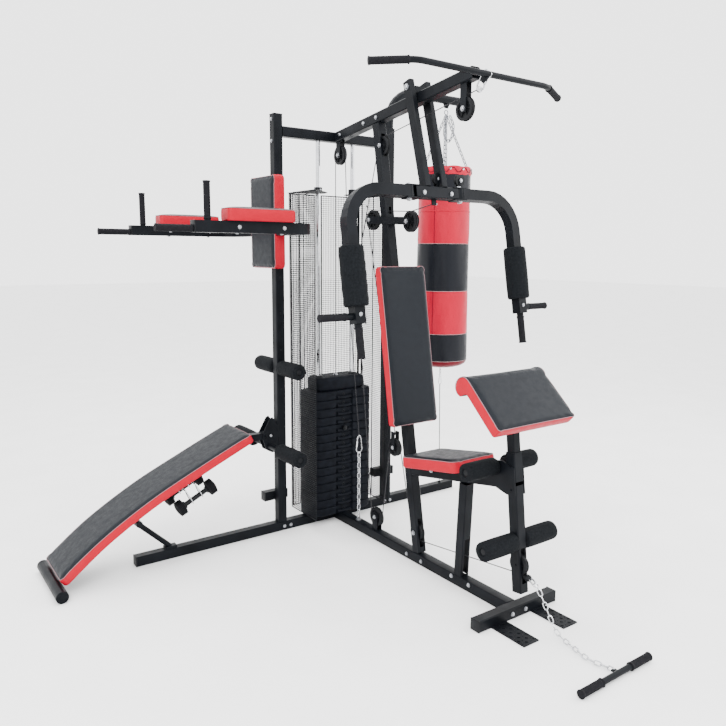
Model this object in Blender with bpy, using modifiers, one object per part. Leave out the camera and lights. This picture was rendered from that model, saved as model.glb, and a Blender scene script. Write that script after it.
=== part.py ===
"""Multi station home gym: one steel frame that carries a weight stack, a lat pulldown, a chest press with
butterfly arms, a seat with a leg developer, a knee raise station, a sit-up bench and a punch bag.

Metres, Z up. X runs along the long base tube, toward the punch bag, and -Y is the side that the seat is on.
The origin is on the floor, under the point where the two base tubes meet.
"""

import math

import bmesh
import bpy
from mathutils import Matrix, Vector

# Section sizes
TUBE = 0.050  # side of the square frame tube
WALL = 0.002  # its wall
GAP = 0.0003  # clearance between pieces that are bolted or laid together
BOLT = 0.005  # radius of an axle bolt
BAR = 0.0125  # radius of the round bars through the foam rollers
CABLE = 0.0023  # radius of the coated steel cable
HALF = TUBE / 2

# Frame
BASE_LEFT, BASE_RIGHT = -1.158, 0.888
FOOT_BAR_Y = -1.375
FOOT_BAR_REACH = 0.229
ANCHOR_Y, ANCHOR_TOP = -0.232, 0.527  # the chain that the lower cable ends on
UPRIGHT_X = 0.358
UPRIGHT_TOP = 2.187
CROSSBAR_TOP = 2.133
BOOM_REAR = Vector((0, -0.0290, 2.1057))
BOOM_FRONT = Vector((0, -1.0483, 2.2392))
UPRIGHT_FOOT = Vector((0, -0.7512, 0.0547))
UPRIGHT_HEAD = Vector((0, -0.3869, 2.1245))
RAIL_REAR = Vector((0, -0.7072, 0.4612))
RAIL_FRONT = Vector((0, -1.3100, 0.5673))
SEAT_POST_FOOT = Vector((0, -1.0480, 0.0515))
SEAT_POST_HEAD = Vector((0, -1.0662, 0.4915))
COLUMN_LEAN = 0.112  # how far the preacher post and the leg developer move in Y for each unit of height
COLUMN_Y_AT_750 = -1.330

# Weight stack
ROD_X = 0.110
ROD_RADIUS = 0.012
PLATE_SIZE, PLATE_CORNER = (0.405, 0.188), 0.052  # each plate seen from above, and how far its corners are cut
HEAD_SIZE, HEAD_CORNER = (0.320, 0.150), 0.040
PLATE_PITCH = 0.0463
LIFTED_COUNT = 5
STACK_BOTTOM = TUBE + GAP
STACK_TOP = 0.751
CARRIAGE_TOP = 0.828
SHROUD_X, SHROUD_FRONT, SHROUD_BACK = 0.240, -0.200, 0.100
SHROUD_REAR_EDGES = (-0.071, -0.031)  # where the rear flanges of the left and right sheets end
SHROUD_BOTTOM, SHROUD_TOP = 0.078, 1.815
SHEET = 0.0015

# Cable wheels: name, (Y, Z), radius
WHEELS = {
    "front_top": ((-0.992, 2.105), 0.050),
    "upright_top": ((-0.428, 2.019), 0.046),
    "rear_top": ((-0.048, 2.014), 0.050),
    "front_mid": ((-0.645, 1.652), 0.050),
    "rear_mid": ((-0.349, 1.668), 0.050),
    "block_upper": ((-0.165, 1.430), 0.046),
    "block_lower": ((-0.165, 1.330), 0.046),
    "base": ((-0.400, 0.122), 0.050),
    "press_block": ((-0.547, 0.536), 0.046),
    "foot": ((-0.735, 0.150), 0.045),
    "leg": ((-1.390, 0.232), 0.045),
}
FIXED_WHEELS = ["front_top", "upright_top", "rear_top", "front_mid", "rear_mid", "base", "foot", "leg"]
WHEEL_WIDTH = 0.020
GROOVE_DEPTH = 0.0090
CABLE_DEPTH = 0.004

# Chest press and butterfly arms
PRESS_PIVOT = Vector((0, -0.678, 2.240))
LEAN = Vector((0, 0.174, 0.985)).normalized()
PRESS_BAR = Vector((0, -0.808, 1.770))
PRESS_LEG_X = 0.049
KNUCKLE_X = 0.150
ARM_X = 0.484
ARM_BEND = 0.160
ARM_LENGTH = 0.560

# Seat side
SEAT_WIDTH, SEAT_THICKNESS = 0.260, 0.055
BACK_WIDTH, BACK_THICKNESS = 0.280, 0.045
BACK_TOP, BACK_LOW = Vector((0, -0.590, 1.446)), Vector((0, -0.715, 0.689))
LEG_PIVOT_Z = 0.545
LEG_TOP_Z, LEG_BOTTOM_Z = 0.565, 0.115
SOCKET_BOTTOM_Z, SOCKET_TOP_Z = 0.580, 0.700
ANKLE_Z = 0.330
THIGH_BAR = Vector((0, -1.261, 0.626))

# Knee raise station
VKR_Z = 1.612
VKR_ARM_Y = 0.412
VKR_BACK_X = -0.4083
VKR_BEND = 0.075
VKR_FRONT_X = -0.979

# Sit-up bench: points of the board's top, from foot to head
BENCH_TOP = [(-1.540, 0.082), (-1.349, 0.231), (-1.118, 0.369), (-0.869, 0.487), (-0.597, 0.608)]
BENCH_THICKNESS = 0.047
BENCH_WIDTH = 0.300
BENCH_PIVOT = Vector((-0.455, 0, 0.545))
BENCH_ROLLER = Vector((-1.536, 0, 0.0272))
STRUT_FOOT = Vector((-0.985, 0, 0.058))
STRUT_HEAD = Vector((-1.168, 0, 0.236))

# Punch bag
BAG_X = 0.785
BAG_RADIUS = 0.160
BAG_HOOK_Z = 2.350
BAG_ARM_Z = 2.400

BLACK = (0.020, 0.021, 0.024)
X_AXIS, Y_AXIS, Z_AXIS = Vector((1, 0, 0)), Vector((0, 1, 0)), Vector((0, 0, 1))


# Scene, materials and finished objects


def clear_scene():
    for old in list(bpy.data.objects):
        bpy.data.objects.remove(old, do_unlink=True)


def new_collection(name):
    collection = bpy.data.collections.new(name)
    bpy.context.scene.collection.children.link(collection)
    return collection


clear_scene()
PARTS = new_collection("multi_station_home_gym")
CUTTERS = new_collection("gym_cutters")


def finish(colour, metallic, roughness):
    """A Principled material with these values, made once."""
    name = "finish_{:.3f}_{:.3f}_{:.3f}_{:.1f}_{:.2f}".format(*colour, metallic, roughness)
    made = bpy.data.materials.get(name)
    if made:
        return made
    made = bpy.data.materials.new(name)
    made.use_nodes = True
    shader = made.node_tree.nodes["Principled BSDF"]
    shader.inputs["Base Color"].default_value = (*colour, 1)
    shader.inputs["Metallic"].default_value = metallic
    shader.inputs["Roughness"].default_value = roughness
    return made


PAINT = (BLACK, 0.0, 0.38)
CHROME = ((0.80, 0.81, 0.83), 1.0, 0.16)
FOAM = ((0.022, 0.022, 0.024), 0.0, 0.85)
VINYL = ((0.030, 0.033, 0.038), 0.0, 0.50)
PLASTIC = ((0.016, 0.016, 0.018), 0.0, 0.45)
RED = ((0.62, 0.02, 0.03), 0.0, 0.45)


def node(name, shape, look, origin=None):
    """Makes this shape a sub-part of the gym, with its origin on its joint where it moves."""
    shape.name = name
    shape.data.name = name
    CUTTERS.objects.unlink(shape)
    PARTS.objects.link(shape)
    shape.hide_render = False
    shape.display_type = "TEXTURED"
    shape.data.materials.clear()
    shape.data.materials.append(finish(*look))
    if origin is not None:
        shape.data.transform(Matrix.Translation(-Vector(origin)))
        shape.location = origin
    shape.data.shade_smooth()
    shape.data.set_sharp_from_angle(angle=math.radians(35))
    return shape


def helper(mesh):
    """An object for this mesh in the cutters' collection, hidden from a render."""
    shape = bpy.data.objects.new("piece", mesh)
    CUTTERS.objects.link(shape)
    shape.hide_render = True
    shape.display_type = "WIRE"
    return shape


def from_bmesh(built):
    mesh = bpy.data.meshes.new("piece")
    bmesh.ops.recalc_face_normals(built, faces=built.faces)
    if built.calc_volume(signed=True) < 0:
        bmesh.ops.reverse_faces(built, faces=built.faces)
    built.to_mesh(mesh)
    built.free()
    return helper(mesh)


def from_curve(curve, matrix):
    """The mesh of a filled curve, moved by the matrix, with its caps welded on."""
    guide = bpy.data.objects.new("guide", curve)
    CUTTERS.objects.link(guide)
    bpy.context.view_layer.update()
    mesh = bpy.data.meshes.new_from_object(guide.evaluated_get(bpy.context.evaluated_depsgraph_get()))
    bpy.data.objects.remove(guide)
    built = bmesh.new()
    built.from_mesh(mesh)
    bpy.data.meshes.remove(mesh)
    bmesh.ops.remove_doubles(built, verts=built.verts, dist=1e-6)
    built.transform(matrix)
    return from_bmesh(built)


def combine(target, others, operation):
    for other in others:
        modifier = target.modifiers.new(operation.lower(), "BOOLEAN")
        modifier.operation = operation
        modifier.solver = "EXACT"
        modifier.object = other
    return target


def join(target, *others):
    return combine(target, others, "UNION")


def cut(target, *others):
    return combine(target, others, "DIFFERENCE")


# Shapes


def axes_matrix(across, along, centre):
    """Local Z runs along the piece and local X across it."""
    along = Vector(along).normalized()
    across = (Vector(across) - along * Vector(across).dot(along)).normalized()
    turn = Matrix((across, along.cross(across), along)).transposed()
    return Matrix.Translation(centre) @ turn.to_4x4()


def box(size, centre, across=X_AXIS, along=Z_AXIS):
    built = bmesh.new()
    bmesh.ops.create_cube(built, size=1, matrix=Matrix.Diagonal((*size, 1)))
    built.transform(axes_matrix(across, along, centre))
    return from_bmesh(built)


def soft_box(size, centre, across=X_AXIS, along=Z_AXIS, edge=0.012):
    """A cushion: a box with rounded edges."""
    built = bmesh.new()
    bmesh.ops.create_cube(built, size=1, matrix=Matrix.Diagonal((*size, 1)))
    bmesh.ops.bevel(built, geom=built.edges[:], offset=edge, segments=2, profile=0.5, affect="EDGES")
    built.transform(axes_matrix(across, along, centre))
    return from_bmesh(built)


def rod(start, end, radius, sides=12):
    start, end = Vector(start), Vector(end)
    along = end - start
    across = X_AXIS if abs(along.normalized().x) < 0.9 else Y_AXIS
    built = bmesh.new()
    bmesh.ops.create_cone(
        built, cap_ends=True, segments=sides, radius1=radius, radius2=radius, depth=along.length
    )
    built.transform(axes_matrix(across, along, (start + end) / 2))
    return from_bmesh(built)


def outline_curve(loops, thickness):
    curve = bpy.data.curves.new("outline", "CURVE")
    curve.dimensions = "2D"
    curve.fill_mode = "BOTH"
    curve.extrude = thickness / 2
    for loop in loops:
        spline = curve.splines.new("POLY")
        spline.points.add(len(loop) - 1)
        for point, (u, v) in zip(spline.points, loop):
            point.co = (u, v, 0, 1)
        spline.use_cyclic_u = True
    return curve


def rounded_rectangle(width, height, radius, segments=1):
    loop = []
    for corner, (u, v) in enumerate([(1, 1), (-1, 1), (-1, -1), (1, -1)]):
        for step in range(segments + 1):
            angle = math.radians(90 * corner + 90 * step / segments)
            loop.append(
                (
                    u * (width / 2 - radius) + radius * math.cos(angle),
                    v * (height / 2 - radius) + radius * math.sin(angle),
                )
            )
    return loop


def square_tube(start, end, width=TUBE, height=TUBE, across=X_AXIS, wall=WALL):
    """A hollow rectangular tube, open at both ends."""
    start, end = Vector(start), Vector(end)
    outer = rounded_rectangle(width, height, 0.004)
    inner = rounded_rectangle(width - 2 * wall, height - 2 * wall, 0.0025)
    curve = outline_curve([outer, inner], (end - start).length)
    return from_curve(curve, axes_matrix(across, end - start, (start + end) / 2))


def plate_xz(points, y, thickness):
    """A flat plate that stands in the XZ plane."""
    return from_curve(
        outline_curve([points], thickness),
        Matrix.Translation((0, y, 0)) @ Matrix.Rotation(math.radians(90), 4, "X"),
    )


def plate_yz(points, x, thickness):
    """A flat plate that stands in the YZ plane."""
    turn = Matrix(((0, 0, 1, x), (1, 0, 0, 0), (0, 1, 0, 0), (0, 0, 0, 1)))
    return from_curve(outline_curve([points], thickness), turn)


def band(path, width, extra=0.0):
    """The outline of a strip of this width along a flat path, with its ends moved out by extra."""
    points = [Vector(point) for point in path]
    points[0] -= (points[1] - points[0]).normalized() * extra
    points[-1] += (points[-1] - points[-2]).normalized() * extra
    left, right = [], []
    for index, point in enumerate(points):
        before = (point - points[index - 1]).normalized() if index else None
        after = (points[index + 1] - point).normalized() if index + 1 < len(points) else None
        along = ((before or after) + (after or before)).normalized()
        side = Vector((-along.y, along.x)) * (width / 2) / along.dot(before or after)
        left.append(tuple(point + side))
        right.append(tuple(point - side))
    return left + right[::-1]


def bent_square_tube(path, matrix, wall=WALL):
    """A hollow square tube bent along a flat path, open at both ends."""
    solid = from_curve(outline_curve([band(path, TUBE)], TUBE), matrix)
    inner = band(path, TUBE - 2 * wall, extra=0.01)
    return cut(solid, from_curve(outline_curve([inner], TUBE - 2 * wall), matrix))


def wire(points, radius, resolution=2):
    curve = bpy.data.curves.new("wire", "CURVE")
    curve.dimensions = "3D"
    curve.bevel_depth = radius
    curve.bevel_resolution = resolution
    curve.use_fill_caps = True
    spline = curve.splines.new("POLY")
    spline.points.add(len(points) - 1)
    for point, place in zip(spline.points, points):
        point.co = (*place, 1)
    return from_curve(curve, Matrix.Identity(4))


def turned(profile, centre, along, steps=16, closed=False):
    """A turned piece. The profile holds (radius, height) points, from the top down its outer side."""
    mesh = bpy.data.meshes.new("profile")
    edges = [(i, i + 1) for i in range(len(profile) - 1)]
    if closed:
        edges.append((len(profile) - 1, 0))
    mesh.from_pydata([(radius, 0, height) for radius, height in profile], edges, [])
    guide = bpy.data.objects.new("guide", mesh)
    CUTTERS.objects.link(guide)
    screw = guide.modifiers.new("screw", "SCREW")
    screw.steps = steps
    screw.render_steps = steps
    screw.use_merge_vertices = True
    screw.merge_threshold = 0.0001
    bpy.context.view_layer.update()
    made = bpy.data.meshes.new_from_object(guide.evaluated_get(bpy.context.evaluated_depsgraph_get()))
    bpy.data.objects.remove(guide)
    built = bmesh.new()
    built.from_mesh(made)
    bpy.data.meshes.remove(made)
    bmesh.ops.remove_doubles(built, verts=built.verts, dist=1e-6)
    across = X_AXIS if abs(Vector(along).normalized().x) < 0.9 else Y_AXIS
    built.transform(axes_matrix(across, along, centre))
    return from_bmesh(built)


def arc(centre, radius, start, end, steps=6):
    """Points on an arc in a flat path, with the angles in degrees."""
    angles = [math.radians(start + (end - start) * step / steps) for step in range(steps + 1)]
    return [(centre[0] + radius * math.cos(a), centre[1] + radius * math.sin(a)) for a in angles]


def column_point(z):
    """A point on the centre line that the preacher post and the leg developer share."""
    return Vector((0, COLUMN_Y_AT_750 - (0.750 - z) * COLUMN_LEAN, z))


def foam_roller(middle, along, inner, outer, radius):
    """A round bar with a foam sleeve on each end: the sleeves reach from inner to outer on both sides."""
    along = Vector(along)
    pieces = [rod(middle + along * side * inner, middle + along * side * outer, radius, 16) for side in (-1, 1)]
    bar = rod(middle - along * (outer - 0.01), middle + along * (outer - 0.01), BAR)
    return join(bar, *pieces)


# Base


def base():
    cross = square_tube((BASE_LEFT, 0, HALF), (BASE_RIGHT, 0, HALF), across=Y_AXIS)
    shoe = box((0.060, 0.036, 0.014), (STRUT_FOOT.x, 0, TUBE + 0.006))
    strut = rod(STRUT_FOOT, STRUT_HEAD, 0.013)
    knob = rod((-1.150, -0.008, 0.226), (-1.150, -0.062, 0.226), 0.016)
    node("base_cross_tube", join(cross, shoe, strut, knob), PAINT)

    main = square_tube((0, -HALF - GAP, HALF), (0, FOOT_BAR_Y + HALF + GAP, HALF))
    y, z = WHEELS["base"][0]
    ears = [box((0.004, 0.040, 0.086), (side * 0.0136, y, 0.092)) for side in (-1, 1)]
    axle = rod((-0.018, y, z), (0.018, y, z), BOLT)
    anchor = rod((0, ANCHOR_Y, TUBE - 0.001), (0, ANCHOR_Y, ANCHOR_TOP), 0.007, 8)
    node("base_main_tube", join(main, *ears, axle, anchor), PAINT)

    bar = square_tube((-FOOT_BAR_REACH, FOOT_BAR_Y, HALF), (FOOT_BAR_REACH, FOOT_BAR_Y, HALF), across=Y_AXIS)
    treads = [box((0.086, 0.196, 0.005), (side * 0.118, -1.474, 0.0025)) for side in (-1, 1)]
    node("front_foot_bar", join(bar, *treads), PAINT)


# Frame above the base


def bench_bracket():
    """The clevis on the left upright that the bench and its leg rollers hang on."""
    cheek = [(-0.3825, 0.452), (-0.3825, 0.600), (-0.415, 0.643), (-0.430, 0.636), (-0.474, 0.560)]
    cheek += [(-0.474, 0.530), (-0.452, 0.470), (-0.420, 0.452)]
    cheeks = [plate_xz(cheek, side * 0.0225, 0.004) for side in (-1, 1)]
    web = box((0.005, 0.048, 0.146), (-0.3850, 0, 0.526))
    pin = rod(BENCH_PIVOT - Y_AXIS * 0.032, BENCH_PIVOT + Y_AXIS * 0.032, 0.006)
    return [web, *cheeks, pin]


def uprights():
    for side, name in ((-1, "left_upright"), (1, "right_upright")):
        x = side * UPRIGHT_X
        tube = square_tube((x, 0, TUBE + GAP), (x, 0, UPRIGHT_TOP))
        stub = square_tube((side * 0.435, 0.0497, 0.190), (side * 0.300, 0.0497, 0.190), across=Y_AXIS)
        join(tube, stub)
        if side < 0:
            join(tube, *bench_bracket())
            roller_hole = rod((x, -0.04, 0.903), (x, 0.04, 0.903), BAR + GAP)
            foam_hole = rod((-0.436, -0.05, 0.490), (-0.436, 0.05, 0.490), BAR + GAP)
            cut(tube, roller_hole, foam_hole)
        node(name, tube, PAINT)
    inside = UPRIGHT_X - HALF - GAP
    level = CROSSBAR_TOP - HALF
    node("top_crossbar", square_tube((-inside, 0, level), (inside, 0, level), across=Y_AXIS), PAINT)
    for side, name in ((-1, "guide_rod_left"), (1, "guide_rod_right")):
        ends = [(side * ROD_X, 0, TUBE + GAP), (side * ROD_X, 0, CROSSBAR_TOP - TUBE - GAP)]
        node(name, rod(*ends, ROD_RADIUS), CHROME)


def boom():
    tube = square_tube(BOOM_REAR, BOOM_FRONT)
    pieces = []
    for name in ("front_top", "rear_top"):
        y, z = WHEELS[name][0]
        underside = BOOM_REAR.lerp(BOOM_FRONT, (y - BOOM_REAR.y) / (BOOM_FRONT.y - BOOM_REAR.y)).z - 0.0252
        top = underside + 0.005
        height = top - z + 0.016
        for side in (-1, 1):
            pieces.append(box((0.004, 0.036, height), (side * 0.0136, y, top - height / 2)))
        pieces.append(rod((-0.018, y, z), (0.018, y, z), BOLT))
    pivot = PRESS_PIVOT
    pieces.append(box((0.060, 0.040, 0.050), pivot + Vector((0, 0, -0.018))))
    pieces.append(rod(pivot - X_AXIS * 0.069, pivot + X_AXIS * 0.069, 0.008))
    node("top_boom", join(tube, *pieces), PAINT)


def back_normal():
    """The way that the back pad faces."""
    along = (BACK_TOP - BACK_LOW).normalized()
    return Vector((0, -along.z, along.y))


def leaning_upright():
    along = (UPRIGHT_HEAD - UPRIGHT_FOOT).normalized()

    def on_line(z):
        return UPRIGHT_FOOT + along * ((z - UPRIGHT_FOOT.z) / along.z)

    slots = [
        box((0.024, 0.090, 0.110), on_line(2.019), along=along),
        box((0.024, 0.090, 0.140), on_line(0.148), along=along),
        box((0.014, 0.090, 0.034), on_line(1.706), along=along),
    ]
    tube = cut(square_tube(UPRIGHT_FOOT, UPRIGHT_HEAD), *slots)
    axles = []
    for name in ("upright_top", "foot"):
        y, z = WHEELS[name][0]
        axles.append(rod((-0.027, y, z), (0.027, y, z), BOLT))
    for name in ("front_mid", "rear_mid"):
        y, z = WHEELS[name][0]
        axles.append(rod((-0.033, y, z), (0.033, y, z), BOLT))
    strap = [(-0.662, 1.636), (-0.332, 1.650), (-0.332, 1.686), (-0.662, 1.672)]
    straps = [plate_yz(strap, side * 0.0268, 0.004) for side in (-1, 1)]
    spacers = []
    for share in (0.2, 0.8):
        pad_back = BACK_LOW.lerp(BACK_TOP, share) + back_normal() * -(BACK_THICKNESS + GAP)
        face = on_line(pad_back.z) - Y_AXIS * (HALF + 0.0002)
        centre = (pad_back + face) / 2
        spacers.append(box((0.060, (face - pad_back).length, 0.040), centre, along=along))
    node("main_upright", join(tube, *axles, *straps, *spacers), PAINT)


def seat_frame():
    rail = square_tube(RAIL_REAR, RAIL_FRONT)
    along = (RAIL_FRONT - RAIL_REAR).normalized()
    up = X_AXIS.cross(along) * -1
    up = up if up.z > 0 else -up
    spacers = []
    for distance in (0.10, 0.33):
        centre = RAIL_REAR + along * distance + up * (HALF + 0.0049)
        spacers.append(box((0.180, 0.030, 0.0102), centre, along=up))
    socket = square_tube(column_point(SOCKET_BOTTOM_Z), column_point(SOCKET_TOP_Z))
    cheek = [
        (-1.235, 0.545),
        (-1.240, 0.648),
        (-1.300, 0.660),
        (-1.366, 0.640),
        (-1.380, 0.528),
        (-1.330, 0.522),
    ]
    cheeks = [plate_yz(cheek, side * 0.0273, 0.005) for side in (-1, 1)]
    pivot = column_point(LEG_PIVOT_Z)
    pin = rod(pivot - X_AXIS * 0.034, pivot + X_AXIS * 0.034, BOLT)
    frame = join(rail, *spacers, socket, *cheeks, pin)
    hole = rod(THIGH_BAR - X_AXIS * 0.05, THIGH_BAR + X_AXIS * 0.05, BAR + GAP)
    node("seat_rail", cut(frame, hole), PAINT)

    slot = box((0.024, 0.090, 0.170), (0, -1.052, 0.145))
    node("front_seat_post", cut(square_tube(SEAT_POST_FOOT, SEAT_POST_HEAD), slot), PAINT)
    node("thigh_roller", foam_roller(THIGH_BAR, X_AXIS, 0.033, 0.203, 0.038), FOAM)


# Weight stack and its cover


def cut_corners(size, corner, bottom, top):
    """An upright block with cut corners."""
    width, depth = size[0] / 2, size[1] / 2
    loop = []
    for u, v in ((1, 1), (-1, 1), (-1, -1), (1, -1)):
        ends = [(u * width, v * (depth - corner)), (u * (width - corner), v * depth)]
        loop += ends if u * v > 0 else ends[::-1]
    return from_curve(outline_curve([loop], top - bottom), Matrix.Translation((0, 0, (bottom + top) / 2)))


def plate_block(bottom, top):
    block = cut_corners(PLATE_SIZE, PLATE_CORNER, bottom, top)
    holes = [rod((x, 0, bottom - 0.01), (x, 0, top + 0.01), 0.0135) for x in (-ROD_X, 0, ROD_X)]
    return cut(block, *holes)


def weight_stack():
    split = STACK_TOP - LIFTED_COUNT * PLATE_PITCH
    node("resting_plates", plate_block(STACK_BOTTOM, split - GAP), PLASTIC)

    pin_z = split + PLATE_PITCH / 2
    face = -PLATE_SIZE[1] / 2
    pin_hole = rod((0, -0.010, pin_z), (0, face - 0.010, pin_z), 0.0046)
    recess = box((0.100, 0.030, STACK_TOP - split + 0.01), (0, face, (STACK_TOP + split) / 2))
    node("lifted_plates", cut(plate_block(split, STACK_TOP), recess, pin_hole), PLASTIC)

    head = cut_corners(HEAD_SIZE, HEAD_CORNER, STACK_TOP + GAP, CARRIAGE_TOP)
    stem = rod((0, 0, STACK_BOTTOM + 0.012), (0, 0, STACK_TOP + 0.02), 0.011)
    holes = [rod((x, 0, 0.70), (x, 0, 0.90), 0.0135) for x in (-ROD_X, ROD_X)]
    bore = rod((0, 0, 0.03), (0, 0, 0.90), 0.007)
    node("stack_carriage", cut(join(head, stem), *holes, bore), PLASTIC)

    knob = rod((0, face + 0.0145, pin_z), (0, face - 0.012, pin_z), 0.013)
    pin = rod((0, -0.0125, pin_z), (0, face + 0.010, pin_z), 0.004)
    node("selector_pin", join(knob, pin), PLASTIC)


def shrouds():
    """A bent sheet on each side of the stack, hung on a cap that is clamped to the guide rod."""
    height = SHROUD_TOP - SHROUD_BOTTOM
    sides = ((-1, "shroud_left", SHROUD_REAR_EDGES[0]), (1, "shroud_right", SHROUD_REAR_EDGES[1]))
    for side, name, rear_edge in sides:
        path = [
            (side * SHROUD_X, SHROUD_FRONT + 0.016),
            (side * SHROUD_X, SHROUD_BACK - 0.015),
            (side * (SHROUD_X - 0.015), SHROUD_BACK),
            (rear_edge, SHROUD_BACK),
        ]
        middle = Matrix.Translation((0, 0, SHROUD_BOTTOM + height / 2))
        sheet = from_curve(outline_curve([band(path, SHEET)], height), middle)
        outline = [
            (side * SHROUD_X, SHROUD_FRONT + 0.016),
            (side * SHROUD_X, SHROUD_BACK - 0.002),
            (side * 0.085, 0.045),
            (side * 0.066, 0.0),
            (side * 0.085, -0.055),
        ]
        cap = from_curve(outline_curve([outline], 0.003), Matrix.Translation((0, 0, SHROUD_TOP)))
        collar = rod((side * ROD_X, 0, SHROUD_TOP), (side * ROD_X, 0, 1.846), 0.022)
        hole = rod((side * ROD_X, 0, 1.80), (side * ROD_X, 0, 1.86), ROD_RADIUS + GAP)
        node(name, cut(join(cap, sheet, collar), hole), PAINT)


# Wheels and cables


def cable_wheel(name, hole=BOLT + GAP):
    (y, z), radius = WHEELS[name]
    half, groove = WHEEL_WIDTH / 2, radius - GROOVE_DEPTH
    profile = [
        (hole, half),
        (radius, half),
        (groove, 0.0),
        (radius, -half),
        (hole, -half),
    ]
    return turned(profile, (0, y, z), X_AXIS, closed=True)


def cable_path(stops):
    """The route of a cable in the plane of the wheels. A stop is a (Y, Z) point, or (wheel, turn), where turn is
    1 for a wheel on the left of the cable as it runs, and -1 for one on the right."""
    rounds = []
    for first, second in stops:
        if first in WHEELS:
            centre, radius = WHEELS[first]
            rounds.append((Vector(centre), second * (radius - CABLE_DEPTH)))
        else:
            rounds.append((Vector((first, second)), 0.0))
    headings = []
    for (a, ra), (b, rb) in zip(rounds, rounds[1:]):
        span = b - a
        headings.append(math.atan2(span.y, span.x) - math.asin((rb - ra) / span.length))
    path = [rounds[0][0]]
    for (centre, radius), before, after in zip(rounds[1:-1], headings, headings[1:]):
        turn = (after - before + math.pi) % (2 * math.pi) - math.pi
        if radius and turn * radius < 0:
            turn += math.copysign(2 * math.pi, radius)
        steps = max(1, math.ceil(abs(turn) / math.radians(20)))
        for step in range(steps + 1):
            angle = before + turn * step / steps
            path.append(centre - radius * Vector((-math.sin(angle), math.cos(angle))))
    path.append(rounds[-1][0])
    return [(0, point.x, point.y) for point in path]


def link_block(name, low, high, wheels):
    """Two side plates that hang on the cables, with the wheels that they hold."""
    y = WHEELS[wheels[0]][0][0]
    plates = [box((0.003, 0.030, high - low), (side * 0.0114, y, (low + high) / 2)) for side in (-1, 1)]
    hubs = [cable_wheel(wheel) for wheel in wheels]
    axles = [rod((-0.017, *WHEELS[wheel][0]), (0.017, *WHEELS[wheel][0]), BOLT + 0.001) for wheel in wheels]
    node(name, join(plates[0], plates[1], *hubs, *axles), PAINT)


def cables():
    for name in FIXED_WHEELS:
        node("wheel_" + name, cable_wheel(name), PLASTIC, origin=(0, *WHEELS[name][0]))
    link_block("floating_block", 1.314, 1.446, ["block_upper", "block_lower"])
    link_block("press_block", 0.520, 0.618, ["press_block"])

    lat = cable_path(
        [(-1.063, 2.170), ("upright_top", -1), ("block_upper", 1), ("rear_top", -1), (0.0, CARRIAGE_TOP + 0.001)]
    )
    node("lat_cable", wire(lat, CABLE), PLASTIC)
    press = cable_path([(-0.786, 1.722), ("front_mid", -1), ("rear_mid", -1), (-0.547, 0.600)])
    node("press_cable", wire(press, CABLE), PLASTIC)

    lower = cable_path(
        [
            (ANCHOR_Y, ANCHOR_TOP + 0.0005),
            ("block_lower", 1),
            ("base", -1),
            ("press_block", 1),
            ("foot", -1),
            ("leg", -1),
            (-1.4232, 0.186),
        ]
    )
    split = next(i for i, point in enumerate(lower) if point[1] < -1.2)
    before, after = Vector(lower[split - 1]), Vector(lower[split])
    joint = before.lerp(after, (-1.338 - before.y) / (after.y - before.y))
    along = (after - before).normalized()
    node("lower_cable", wire(lower[:split] + [tuple(joint)], CABLE), PLASTIC)
    leg_end = [tuple(joint + along * 0.001)] + lower[split:]
    node("leg_cable", wire(leg_end, CABLE), PLASTIC)


# Lat bar


def lat_bar():
    path = [(-0.533, -1.033, 2.207), (-0.366, -1.111, 2.222), (0.366, -1.111, 2.222), (0.533, -1.033, 2.207)]
    bar = wire(path, BAR, 3)
    grips = []
    for side in (-1, 1):
        inner, outer = Vector((side * 0.385, -1.102, 2.2203)), Vector((side * 0.533, -1.033, 2.207))
        grips.append(rod(inner, outer, 0.016))
    shank = rod((0, -1.106, 2.217), (0, -1.077, 2.180), 0.005)
    stop = rod((0, -1.088, 2.172), (0, -1.064, 2.172), 0.014)
    node("lat_bar", join(bar, *grips, shank, stop), PAINT, origin=(0, -1.111, 2.222))


# Press arm and butterfly arms


def press_arm():
    ends = [PRESS_BAR - X_AXIS * 0.1235, PRESS_BAR + X_AXIS * 0.1235]
    bar = square_tube(*ends, width=0.0514, across=LEAN)
    pieces = []
    for side in (-1, 1):
        foot = PRESS_BAR + X_AXIS * side * PRESS_LEG_X + LEAN * HALF
        head = Vector((side * PRESS_LEG_X, 0, 0)) + PRESS_PIVOT
        head = head + (head - foot).normalized() * 0.028
        pieces.append(square_tube(foot, head, width=0.030, height=TUBE))
        for level in (-1, 1):
            centre = PRESS_BAR + X_AXIS * side * 0.1375 + LEAN * level * 0.0274
            pieces.append(box((0.075, 0.050, 0.004), centre, along=LEAN))
        pin = PRESS_BAR + X_AXIS * side * KNUCKLE_X
        pieces.append(rod(pin - LEAN * 0.032, pin + LEAN * 0.032, 0.006))
    tab = PRESS_BAR - LEAN * 0.038 + Vector((0, 0.010, 0))
    pieces.append(box((0.020, 0.012, 0.028), tab, along=LEAN))
    hole = rod(PRESS_PIVOT - X_AXIS * 0.09, PRESS_PIVOT + X_AXIS * 0.09, 0.0084)
    node("press_arm", cut(join(bar, *pieces), hole), PAINT, origin=PRESS_PIVOT)


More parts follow.
